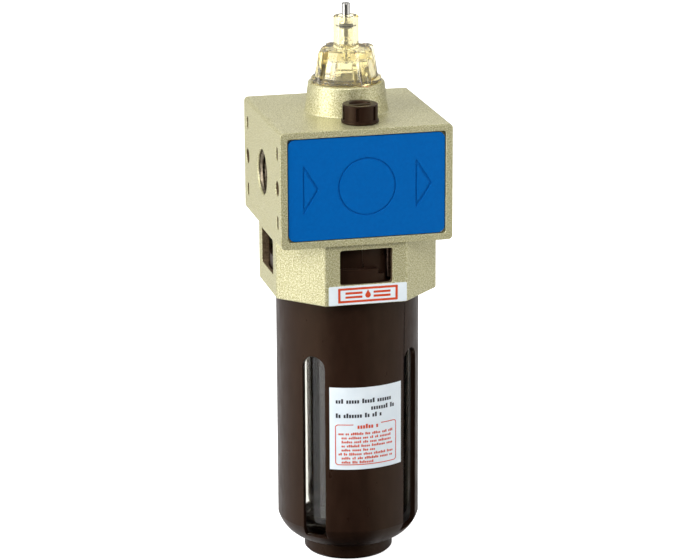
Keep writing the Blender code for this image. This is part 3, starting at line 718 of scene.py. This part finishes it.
def side_mark_cuts():
    """Two columns of a slot, a round hole and a slot on each port face."""
    cuts = []
    for side in (-HEAD_HALF, HEAD_HALF):
        for column in (-SIDE_COLUMN_Y, SIDE_COLUMN_Y):
            for rise in (-SIDE_SLOT_RISE, SIDE_SLOT_RISE):
                cuts.append(block(SIDE_SLOT, (side, column, FLOW_Z + rise), 0.5, 2))
            hole = rod(SIDE_HOLE_R, -SIDE_MARK_DEPTH, SIDE_MARK_DEPTH, SMALL, "X")
            cuts.append(moved(hole, (side, column, FLOW_Z)))
    return cuts


def make_plates(look):
    """The two moulded plates, with a ring and two arrowheads sunk into each."""
    thick = plate_high.y - plate_low.y
    for name, side in (("front_plate", -1), ("rear_plate", 1)):
        body = extruded(rounded_outline(PLATE_WIDTH, PLATE_HEIGHT, 3.0), 0, thick)
        outlines = [[arc((0, 0.2), r, 0, 360, 72)[:-1] for r in (13.45, 12.75)]]
        for tip, base in ((-22.9, -29.3), (29.8, 22.9)):
            outlines.append([arrowhead(tip, base, grow) for grow in (0.28, -0.28)])
        grooves = [band(outer, inner, thick - 0.5, thick + 0.5) for outer, inner in outlines]
        for bm in [body] + grooves:
            moved(bm, turn=90, axis="X").transform(Matrix.Diagonal((1, -side, 1, 1)))
        place = (0, side * (-plate_low.y - thick), FLOW_Z)
        made = shaped("moulded_" + name, body, cuts=grooves, edge=0.12, place=place)
        add_piece(made, look, "head", [name])


def arrowhead(tip, base, grow):
    """A triangle that points to +X, its sides moved out by grow."""
    half, middle = 10.5, 0.2
    corners = [Vector((base, middle - half)), Vector((tip, middle)), Vector((base, middle + half))]
    centre = sum(corners, Vector((0, 0))) / 3
    corners = [centre + (c - centre) * (1 + grow / 2.1) for c in corners]
    return filleted([tuple(c) for c in corners], 0.5, has_axis=False)


def make_front_label(film, red):
    """The sticker under the front window, with a frame, a drop and two bars printed on it."""
    centre = 0.5 * (label_low + label_high)
    width, height = label_high.x - label_low.x, label_high.z - label_low.z
    thick = label_high.y - label_low.y
    sheet = extruded(rounded_outline(width, height, 0.5, 3), 0, thick - 0.03)
    place = (centre.x, label_high.y, centre.z)
    sheet = moved(sheet, turn=90, axis="X")
    add_piece(("front_sticker", sheet, place), film, "head", ["front_label"])
    low, high = thick - 0.05, thick
    frames = rounded_outline(28.0, 7.0, 0.3, 3), rounded_outline(25.8, 4.9, 0.2, 3)
    prints = [band(*frames, low, high), extruded(drop_outline(1.3), low, high)]
    for side in (-1, 1):
        for row in (-0.95, 0.95):
            bar = extruded(rounded_outline(8.0, 1.05, 0.2, 2), low, high)
            prints.append(moved(bar, (side * 6.6, row, 0)))
    marks = moved(joined(prints), turn=90, axis="X")
    add_piece(("sticker_print", marks, place), red, "head")


def drop_outline(radius):
    """An oil drop, point up."""
    outline = arc((0, -0.35), radius, -215, 35, 20)
    return outline + [(0, radius + 0.85)]


def make_stop_pin(look):
    x, y = from_front(STOP_ANGLE, STOP_R)
    made = rod(STOP_PIN_R, pin_low.z, pin_high.z, SMALL, edge=0.5)
    add_piece(("stop_pin", made, (x, y, 0)), look, "head", ["bayonet_stop_pin"])


# ---- Guard and bowl ----
def make_guard(look):
    inner = GUARD_R - GUARD_WALL
    outline = [(GUARD_R, GUARD_TOP)] + bulged((GUARD_R, SHOULDER_Z), (BOSS_R, BOSS_TOP), 0.14, 14)
    outline += [(BOSS_R, 1.2), (BOSS_R - 1.2, 0), (17.0, 0), (17.0, 8.0), (11.0, 8.0), (11.0, 11.0)]
    outline += [(22.0, 11.0)] + bulged((26.5, 13.0), (inner, SHOULDER_Z + 1), -0.14, 6)
    outline += [(inner, 149.8), (31.9, 149.8), (31.9, GUARD_TOP)]
    body = turned(filleted(outline, 0.5), LARGE)
    first, last = LUG_CENTRE - 0.5 * LUG_ANGLE, LUG_CENTRE + 0.5 * LUG_ANGLE
    low = LEDGE_TOP + 0.3
    adds, cuts = [], []
    for quarter in range(0, 360, 90):
        adds.append(sector(LUG_ROOT_R, LUG_R, first + quarter, last + quarter, low, LUG_TOP))
        start, end = last - 1 + quarter, HEEL_END + quarter
        adds.append(sector(LUG_ROOT_R, LUG_R, start, end, low, LUG_TOP - 2.5))
        cuts.append(slot_cut(45 + GUARD_TURN + quarter))
    adds.append(block((0.35, 0.6, 9.5), (*from_front(-2, GUARD_R), LUG_TOP + 4.9)))
    made = shaped("moulded_guard", body, adds=adds, cuts=cuts, edge=0.3)
    add_piece(made, look, "bowl_and_guard", ["bowl_guard"])


def slot_cut(angle):
    """A slot with a round top through one side of the guard."""
    half = 0.5 * SLOT_WIDTH
    outline = [(-half, SLOT_FLOOR), (half, SLOT_FLOOR)]
    outline += arc((0, SLOT_TOP - half), half, 0, 180, 24)
    return moved(moved(extruded(outline, 22.0, GUARD_R + 2), turn=90, axis="X"), turn=angle)


def make_bowl(look, seal_look):
    inner = BOWL_R - BOWL_WALL
    floor_z = BOWL_BOTTOM + 3.4
    outline = [(24.2, BOWL_TOP), (BOWL_NECK_R, BOWL_TOP), (BOWL_NECK_R, 163.6)]
    outline += [(SEAL_GROOVE_R, 163.6), (SEAL_GROOVE_R, 160.6), (BOWL_NECK_R, 160.6)]
    outline += [(BOWL_NECK_R, 153.8), (FLANGE_R, 153.8)]
    outline += [(FLANGE_R, 150.1), (BOWL_R, 150.1)]
    outline += arc((BOWL_R - 8, BOWL_BOTTOM + 8), 8, 0, -90, 14)
    outline += [(9.0, BOWL_BOTTOM), (9.0, bowl_low.z), (4.3, bowl_low.z), (4.3, floor_z)]
    outline += arc((inner - 5, floor_z + 5), 5, -90, 0, 8) + [(inner, 146.0), (24.2, 151.0)]
    bowl = turned(filleted(outline, 0.4), LARGE)
    add_piece(("clear_bowl", bowl), look, "bowl_and_guard", ["bowl"])
    ring = ring_seal(0.5 * (SEAL_GROOVE_R + BOWL_BORE_R), 1.2, 162.1, LARGE)
    add_piece(("bowl_seal", ring), seal_look, "bowl_and_guard", ["bowl_o_ring"])


def printed_block(x, z, width, height):
    """A printed block whose lower left corner is x, z millimetres from the caution patch's."""
    start, low = PATCH_FIRST + x * PATCH_TURN, patch_low.z + z
    steps = max(1, ceil(width / 1.5))
    end = start + width * PATCH_TURN
    return sector(PATCH_R + 0.15, PATCH_R + 0.25, start, end, low, low + height, steps)


def make_guard_label(film, black, red):
    """The printed patch round the front of the guard, with rows of blocks where print would be."""
    sheet = sector(PATCH_R, PATCH_R + 0.2, PATCH_FIRST, PATCH_LAST, patch_low.z, patch_high.z, 40)
    add_piece(("guard_patch", sheet), film, "bowl_and_guard", ["guard_label"])
    rows = random.Random(4)
    top = patch_high.z - patch_low.z
    blocks = []
    for start, end, drop in ((3.0, 32.0, 7.6), (19.5, 32.3, 11.2), (3.0, 25.5, 14.6)):
        blocks += word_row(rows, start, end, top - drop, 2.2, 1.25)
    add_piece(("patch_print_dark", joined(blocks)), black, "bowl_and_guard")

    blocks = word_row(rows, 13.0, 24.0, top - 20.0, 2.2, 1.3)
    for line in range(8):
        start = 5.6 if line not in (0, 5) else 4.2
        end = 31.0 if line not in (4, 7) else 22.0
        blocks += word_row(rows, start, end, top - 23.0 - 1.98 * line, 1.25, 0.85)
    blocks += printed_frame(2.6, 32.9, 2.2, top - 18.2)
    add_piece(("patch_print_red", joined(blocks)), red, "bowl_and_guard")


def word_row(rows, start, end, z, height, width):
    """A row of letter-sized blocks in words, from start to end."""
    made, x, left_in_word = [], start, rows.randint(2, 7)
    while x + width < end:
        if left_in_word == 0:
            x += 0.9 * width
            left_in_word = rows.randint(2, 8)
            continue
        tall = height * rows.choice((0.72, 0.72, 1.0))
        made.append(printed_block(x, z, width * 0.72, tall))
        x += width
        left_in_word -= 1
    return made


def printed_frame(left, right, bottom, top):
    """A frame with round corners, open in the middle of its top, where the heading stands."""
    line, reach = PATCH_LINE, PATCH_CORNER
    made = [printed_block(x, top, 7.0, line) for x in (left + reach, right - reach - 7.0)]
    made.append(printed_block(left + reach, bottom, right - left - 2 * reach, line))
    for x in (left, right - line):
        made.append(printed_block(x, bottom + reach, line, top - bottom - 2.6))
    for x, z, start in ((left + reach, top - 1.1, 90), (left + reach, bottom + reach, 180),
                        (right - reach, bottom + reach, 270), (right - reach, top - 1.1, 0)):
        outline = arc((x, z), reach, start, start + 90, 6)
        outline += arc((x, z), reach - line, start + 90, start, 6)
        corner = extruded(outline, PATCH_R + 0.15, PATCH_R + 0.25)
        for vert in corner.verts:
            place = from_front(PATCH_FIRST + vert.co.x * PATCH_TURN, vert.co.z)
            vert.co = (*place, patch_low.z + vert.co.y)
        made.append(corner)
    return made


def make_drain(look, seal_look):
    outline = [(0, 19.0), (2.2, 19.0), (4.0, 17.2), (4.0, 7.9), (6.8, 7.9), (6.8, 4.4)]
    outline += [(6.2, 3.8), (0, 3.8)]
    slot = block((15, 1.6, 3.0), (0, 0, drain_low.z))
    grip = [moved(block((0.5, 0.8, 6.0), (6.95, 0, 6.0)), turn=15 * k) for k in range(24)]
    body = turned(filleted(outline, 0.25), ROUND)
    made = shaped("drain_plug", body, cuts=[slot, joined(grip)], edge=0.12)
    add_piece(made, look, "drain", ["drain_screw"])
    ring = ring_seal(5.0, 0.42, 8.35)
    add_piece(("drain_seal_ring", ring), seal_look, "drain_seal", ["drain_o_ring"])


# ---- Sight dome, needle and filler plug ----
def make_dome(look):
    outline = [(NEEDLE_BORE_R, DOME_TOP), (DOME_TUBE_R - 0.4, DOME_TOP)]
    outline += [(DOME_TUBE_R, DOME_TOP - 0.4), (DOME_TUBE_R, DOME_SHOULDER)]
    outline += [(10.9, DOME_SHOULDER), (11.7, DOME_SHOULDER - 0.8)]
    outline += [(14.6, 230.0), (16.2, 229.0), (16.2, DOME_SEAT), (13.0, DOME_SEAT)]
    outline += [(13.0, dome_low.z), (7.5, dome_low.z), (7.5, 226.0), (11.6, 229.0)]
    outline += [(9.4, 237.0), (8.4, 238.1), (1.5, 238.1), (1.5, 242.2), (NEEDLE_BORE_R, 243.2)]
    lobes = [grip_lobe(LOBE_TURN + 90 * k) for k in range(4)]
    body = turned(filleted(outline, 0.5, 4), 96)
    made = shaped("clear_dome", body, adds=lobes, edge=0.35, segments=3)
    add_piece(made, look, "dome", ["sight_dome"], sharp=40)


def grip_lobe(angle):
    """One tapered rib of the dome's grip, with a round outer side."""
    bm = bmesh.new()
    levels = ((DOME_SEAT, 17.2, 3.2), (DOME_SHOULDER - 1.4, 14.8, 2.8))
    levels += ((DOME_SHOULDER - 0.5, 14.4, 2.5), (DOME_SHOULDER, 13.6, 2.0))
    rings = []
    for height, reach, half in levels:
        side = arc((0, -(reach - half)), half, 180, 360, 16)
        outline = [(-half, -9.0)] + side + [(half, -9.0)]
        rings.append([bm.verts.new((x, y, height)) for x, y in outline])
    for lower, upper in zip(rings, rings[1:]):
        bridge(bm, lower, upper)
    bm.faces.new(rings[0])
    bm.faces.new(rings[-1])
    return moved(bm, turn=angle)


def make_dome_fittings(steel, seal_look):
    ring = ring_seal(14.2, 0.9, 226.5)
    add_piece(("dome_seal_ring", ring), seal_look, "dome_seal", ["dome_o_ring"])
    ring = ring_seal(9.3, 0.7, dome_low.z - 1.7)
    add_piece(("dome_inner_seal", ring), seal_look, "head", ["dome_inner_o_ring"])
    outline = [(0.5, nozzle_high.z), (1.05, nozzle_high.z), (1.05, nozzle_low.z + 0.8)]
    outline += [(0.7, nozzle_low.z), (0.5, nozzle_low.z)]
    tube = turned(filleted(outline, 0.08), SMALL)
    add_piece(("drip_tube", tube), steel, "dome", ["drip_nozzle"])


def make_needle(look, seal_look):
    low, high = NEEDLE_SEAL_Z - 1.1, NEEDLE_SEAL_Z + 1.1
    outline = [(0, NEEDLE_TOP), (1.5, NEEDLE_TOP), (NEEDLE_R, NEEDLE_TOP - 0.4)]
    outline += [(NEEDLE_R, high + 0.7), (2.9, high + 0.7), (2.9, high)]
    outline += [(1.25, high), (1.25, low), (2.9, low)]
    outline += [(2.9, 248.0), (2.2, 247.8), (2.2, 246.4), (2.9, 246.2), (2.9, 244.6)]
    outline += [(1.1, 243.4), (1.1, 242.2), (0, needle_low.z)]
    slot = block((6, 0.8, 2.4), (0, 0, NEEDLE_TOP))
    made = shaped("polished_needle", turned(filleted(outline, 0.15), 48), cuts=[slot], edge=0.08)
    add_piece(made, look, "needle", ["adjusting_needle"])
    ring = ring_seal(NEEDLE_BORE_R - 0.95, 1.0, NEEDLE_SEAL_Z, ROUND)
    add_piece(("needle_seal_ring", ring), seal_look, "needle_seal", ["needle_o_ring"])


def make_plug(look, seal_look):
    """The black filler plug, ribbed round its side, with a cross bar in its hollow top."""
    place = (0, PLUG_Y, HEAD_TOP)
    top, stem = PLUG_TOP - HEAD_TOP, PLUG_BORE_R - 0.3
    outline = [(0, top - 1.8), (4.8, top - 1.8), (5.0, top), (PLUG_R, top), (PLUG_R, 1.5)]
    outline += [(PLUG_FLANGE_R, 1.5), (PLUG_FLANGE_R, 0.3), (stem, 0.3), (stem, -0.9)]
    outline += [(4.2, -0.9), (4.2, -3.1), (stem, -3.1)]
    outline += [(stem, -8.4), (stem - 0.8, -9.2), (0, -9.2)]
    bar = block((9.8, 1.8, 1.7), (0, 0, top - 1.25))
    groove = (1.5, 1.8, top - 2.6), (0, -PLUG_R, 0.5 * top + 0.6)
    grooves = [moved(block(*groove), turn=60 * k - 20) for k in range(6)]
    body = turned(filleted(outline, 0.45), 96)
    made = shaped("moulded_plug", body, adds=[bar], cuts=grooves, edge=0.14, place=place)
    add_piece(made, look, "plug", ["filler_plug"])
    ring = ring_seal(5.25, 0.75, -2.0)
    add_piece(("plug_seal_ring", ring, place), seal_look, "plug_seal", ["filler_o_ring"])


# ---- Pieces in the air and oil ways ----
def make_flow_pieces(grey, steel):
    """The bore's liner, the vane that the air lifts, its pin and its spring."""
    outline = [(7.4, 12.0), (8.7, 12.0), (8.7, -12.0), (7.4, -12.0), (7.4, -8.6)]
    outline += [(5.4, -8.2), (5.4, -6.8), (7.4, -6.8)]
    hole = rod(2.4, 4.0, 10.0, SMALL)
    place = (0, 0, FLOW_Z)
    body = turned(filleted(outline, 0.25), 96, "X")
    made = shaped("flow_liner", body, cuts=[hole], edge=0.12, place=place)
    add_piece(made, grey, "head", ["flow_insert"])

    drop = 5.2
    pivot = (-5.0, 0, FLOW_Z - drop)
    disc = moved(rod(6.4, -1.4, -0.4, ROUND, "X", edge=0.2), (0, 0, drop + 0.2))
    foot = block((12, 30, 6.0), (0, 0, -3.2))
    hinge = rod(1.1, -1.2, 2.2, SMALL, "Y")
    bore = rod(0.6, -8.0, 8.0, SMALL, "Y")
    flat = mesh_copy(shaped("flat_disc", disc, cuts=[foot]))
    made = shaped("moulded_vane", flat, adds=[hinge], cuts=[bore], edge=0.1, place=pivot)
    add_piece(made, grey, "vane", ["flow_vane"])
    pin = rod(0.5, -5.6, 5.6, SMALL, "Y", edge=0.15)
    add_piece(("vane_axle", pin, pivot), steel, "head", ["vane_pin"])
    spring = moved(coil(0.95, 0.12, -3.4, -1.5, 3), turn=-90, axis="X")
    add_piece(("vane_coil", spring, pivot), steel, "head", ["vane_spring"])


def mesh_copy(made):
    """The mesh of an object, back in millimetres, and the object removed."""
    bm = bmesh.new()
    bm.from_mesh(made.data)
    bm.transform(Matrix.Scale(1 / MM, 4))
    bpy.data.objects.remove(made, do_unlink=True)
    return bm


def make_siphon(brass, steel, nylon, bronze):
    place = (0, SIPHON_Y, 0)
    socket = 2.8
    outline = [(1.2, 173.8), (4.2, 173.8), (4.2, 168.1), (5.6, 168.1), (5.6, 158.0)]
    outline += [(socket, 158.0), (socket, 163.6), (1.2, 163.6), (1.2, 165.0)]
    outline += [(2.4, 165.6), (2.4, 170.6), (1.2, 170.6)]
    adaptor = turned(filleted(outline, 0.2), ROUND)
    add_piece(("brass_adaptor", adaptor, place), brass, "head", ["siphon_adaptor"])
    outline = [(2.5, tube_high.z), (2.5, tube_low.z), (1.5, tube_low.z), (1.5, tube_high.z)]
    tube = turned(filleted(outline, 0.15), ROUND)
    add_piece(("nylon_siphon_tube", tube, place), nylon, "head", ["siphon_tube"])
    bottom, stop = tube_low.z - 4.4, tube_low.z - 0.3
    outline = [(socket, 32.0), (4.5, 32.0), (4.5, bottom + 1), (3.5, bottom), (0, bottom)]
    outline += [(0, bottom + 3.0), (1.6, bottom + 3.0), (1.6, stop), (socket, stop)]
    strainer = turned(filleted(outline, 0.3), ROUND)
    made = ("bronze_strainer", strainer, place)
    add_piece(made, bronze, "head", ["tube_strainer"])
    made = ("steel_check_ball", ball(2.0), (0, SIPHON_Y, 167.2))
    add_piece(made, steel, "siphon_check", ["check_ball"])


def ball(radius, squash=1.0):
    """A turned ball, whose outline is a half circle."""
    outline = [(0, radius * squash)]
    outline += [(r, z * squash) for r, z in arc((0, 0), radius, 80, -80, 24)]
    return turned(outline + [(0, -radius * squash)], 48)


def make_charge_valve(brass, steel):
    place = (-16.0, 0, 0)
    outline = [(1.2, 170.6), (3.1, 170.6), (3.1, 168.1), (4.6, 168.1), (4.6, 166.6), (1.2, 166.6)]
    seat = turned(filleted(outline, 0.15), ROUND)
    add_piece(("brass_valve_seat", seat, place), brass, "head", ["charge_valve_seat"])
    spring = coil(1.5, 0.2, 170.9, 172.3, 3)
    add_piece(("valve_coil", spring, place), steel, "head", ["charge_valve_spring"])
    made = ("valve_ball", ball(1.9, 0.52), (-16.0, 0, 174.2))
    add_piece(made, steel, "charge_check", ["charge_valve_ball"])


# ---- Stage ----
def make_floor():
    """A large pale disc that glows for the camera, and is dark in front to whatever it lights."""
    bm = bmesh.new()
    bmesh.ops.create_circle(bm, cap_ends=True, segments=96, radius=14.0 / MM)
    made = raw_object("floor", bm, (0, 0, -0.3))
    look = bpy.data.materials.new("pale_floor")
    look.use_nodes = True
    nodes, links = look.node_tree.nodes, look.node_tree.links
    surface = nodes["Principled BSDF"]
    way = added(nodes, "VectorMath")
    way.operation = "NORMALIZE"
    links.new(added(nodes, "TexCoord").outputs["Object"], way.inputs[0])
    toward = toward_camera(nodes, links, way.outputs["Vector"], 0)
    links.new(faded(nodes, links, toward, PALE_FLOOR, DIM_FLOOR), surface.inputs["Base Color"])
    surface.inputs["Roughness"].default_value = 0.9
    surface.inputs["Emission Color"].default_value = (1.0, 1.0, 1.0, 1.0)
    glow = combined(nodes, links, "MULTIPLY", seen_directly(nodes, links, toward), FLOOR_GLOW)
    links.new(glow, surface.inputs["Emission Strength"])
    made.data.materials.append(look)


def combined(nodes, links, operation, first, second):
    """What a Math node makes of a socket and a second socket or number."""
    made = added(nodes, "Math")
    made.operation = operation
    links.new(first, made.inputs[0])
    if isinstance(second, float):
        made.inputs[1].default_value = second
    else:
        links.new(second, made.inputs[1])
    return made.outputs["Value"]


def toward_camera(nodes, links, way, elevation):
    """The cosine of the angle between a direction and the camera's, seen from the object."""
    made = added(nodes, "VectorMath")
    made.operation = "DOT_PRODUCT"
    made.inputs[1].default_value = outward(CAMERA_AZIMUTH, elevation)
    links.new(way, made.inputs[0])
    return made.outputs["Value"]


def faded(nodes, links, toward, beside, ahead):
    """One value beside the camera's direction, and another straight towards it."""
    fade = added(nodes, "MapRange", From_Min=FADE_START, From_Max=FADE_END)
    fade.inputs["To Min"].default_value = beside
    fade.inputs["To Max"].default_value = ahead
    links.new(toward, fade.inputs["Value"])
    return fade.outputs["Result"]


def seen_directly(nodes, links, toward):
    """1 for what the camera sees, straight or through clear plastic, 0 for what lights the object.

    What is mirrored in metal or in a wall of the plastic comes between the two.
    """
    path = added(nodes, "LightPath").outputs
    either = combined(nodes, links, "MAXIMUM", path["Is Camera Ray"], path["Is Transmission Ray"])
    mirrored = added(nodes, "MapRange", To_Min=1.0)
    links.new(faded(nodes, links, toward, MIRRORED_GLOW, 0.0), mirrored.inputs["To Max"])
    links.new(path["Glossy Depth"], mirrored.inputs["Value"])
    return combined(nodes, links, "MULTIPLY", either, mirrored.outputs["Result"])


def outward(azimuth, elevation):
    """The direction azimuth degrees from the front, -Y, towards +X, and elevation degrees up."""
    a, e = radians(azimuth), radians(elevation)
    return Vector((sin(a) * cos(e), -cos(a) * cos(e), sin(e)))


def make_light(name, azimuth, elevation, distance, size, watts):
    """A soft box that looks at the middle of the object."""
    back = outward(azimuth, elevation)
    data = bpy.data.lights.new(name, "AREA")
    data.shape = "RECTANGLE"
    data.size, data.size_y = size
    data.energy = watts
    made = bpy.data.objects.new(name, data)
    made.location = Vector((0, 0, 0.14)) + back * distance
    made.rotation_mode = "QUATERNION"
    made.rotation_quaternion = back.to_track_quat("Z", "Y")
    bpy.context.scene.collection.objects.link(made)


def make_world():
    """White for what the camera sees. As a source of light it is dim behind the camera alone."""
    world = bpy.data.worlds.new("studio")
    bpy.context.scene.world = world
    world.use_nodes = True
    nodes, links = world.node_tree.nodes, world.node_tree.links
    shown, lit = nodes["Background"], added(nodes, "Background")
    for background in (shown, lit):
        background.inputs["Color"].default_value = (1.0, 1.0, 1.0, 1.0)
    way = added(nodes, "TexCoord").outputs["Generated"]
    toward = toward_camera(nodes, links, way, CAMERA_ELEVATION)
    links.new(faded(nodes, links, toward, SIDE_GLOW, FRONT_GLOW), lit.inputs["Strength"])
    mix = added(nodes, "MixShader")
    links.new(seen_directly(nodes, links, toward), mix.inputs["Fac"])
    links.new(lit.outputs["Background"], mix.inputs[1])
    links.new(shown.outputs["Background"], mix.inputs[2])
    links.new(mix.outputs["Shader"], nodes["World Output"].inputs["Surface"])


def make_camera():
    """The photograph's viewpoint: left of the front and a little above, with a long lens."""
    back = outward(CAMERA_AZIMUTH, CAMERA_ELEVATION)
    right = Vector((-back.y, back.x, 0)).normalized()
    aim = Vector((0, 0, AIM_HEIGHT)) + right * AIM_RIGHT
    data = bpy.data.cameras.new("camera")
    data.lens = CAMERA_LENS
    data.clip_end = 100.0
    made = bpy.data.objects.new("camera", data)
    made.location = (aim + back * CAMERA_DISTANCE) * MM
    made.rotation_mode = "QUATERNION"
    lean = Matrix.Rotation(radians(CAMERA_LEAN), 4, "Z").to_quaternion()
    made.rotation_quaternion = (-back).to_track_quat("-Z", "Y") @ lean
    bpy.context.scene.collection.objects.link(made)
    bpy.context.scene.camera = made


def make_stage():
    bpy.context.scene.view_settings.view_transform = "Standard"
    make_floor()
    make_world()
    make_light("left_soft_box", -74, 26, 1.3, (0.9, 1.3), 20.5)
    make_light("front_soft_box", -4, 40, 1.5, (0.8, 0.5), 10.0)
    make_light("right_soft_box", 68, 20, 1.4, (0.5, 1.2), 4.5)
    make_light("top_soft_box", 10, 78, 1.4, (1.2, 0.9), 0.3)
    make_light("back_soft_box", 165, 35, 1.5, (1.0, 1.0), 2)
    make_camera()


def make_lubricator():
    cast, threads = cast_metal(), machined_metal()
    nylon, film, seal = dark_nylon(), label_film(), rubber("black_rubber", (0.018, 0.018, 0.017))
    red, black = ink("red_ink", (0.58, 0.052, 0.006)), ink("black_ink", (0.02, 0.022, 0.03))
    steel = metal("steel", (0.50, 0.50, 0.48), (0.70, 0.70, 0.68), 0.14, 0.26)
    chrome = metal("chrome", (0.72, 0.70, 0.64), (0.86, 0.84, 0.78), 0.05, 0.12)
    brass = metal("brass", (0.50, 0.34, 0.11), (0.72, 0.53, 0.24), 0.2, 0.34)
    make_head(cast, threads, painted_recess_shade())
    make_plates(blue_plate())
    make_front_label(film, red)
    make_stop_pin(metal("blackened_steel", (0.035, 0.022, 0.016), (0.09, 0.06, 0.045), 0.25, 0.4))
    make_guard(nylon)
    make_bowl(clear_bowl(), seal)
    make_guard_label(film, black, red)
    make_drain(brass, seal)
    make_dome(amber_dome())
    make_dome_fittings(steel, rubber("brown_rubber", (0.20, 0.135, 0.06)))
    make_needle(chrome, seal)
    make_plug(nylon, seal)
    make_flow_pieces(grey_acetal(), steel)
    make_siphon(brass, steel, nylon_tube(), sintered_bronze())
    make_charge_valve(brass, steel)


make_lubricator()
make_stage()
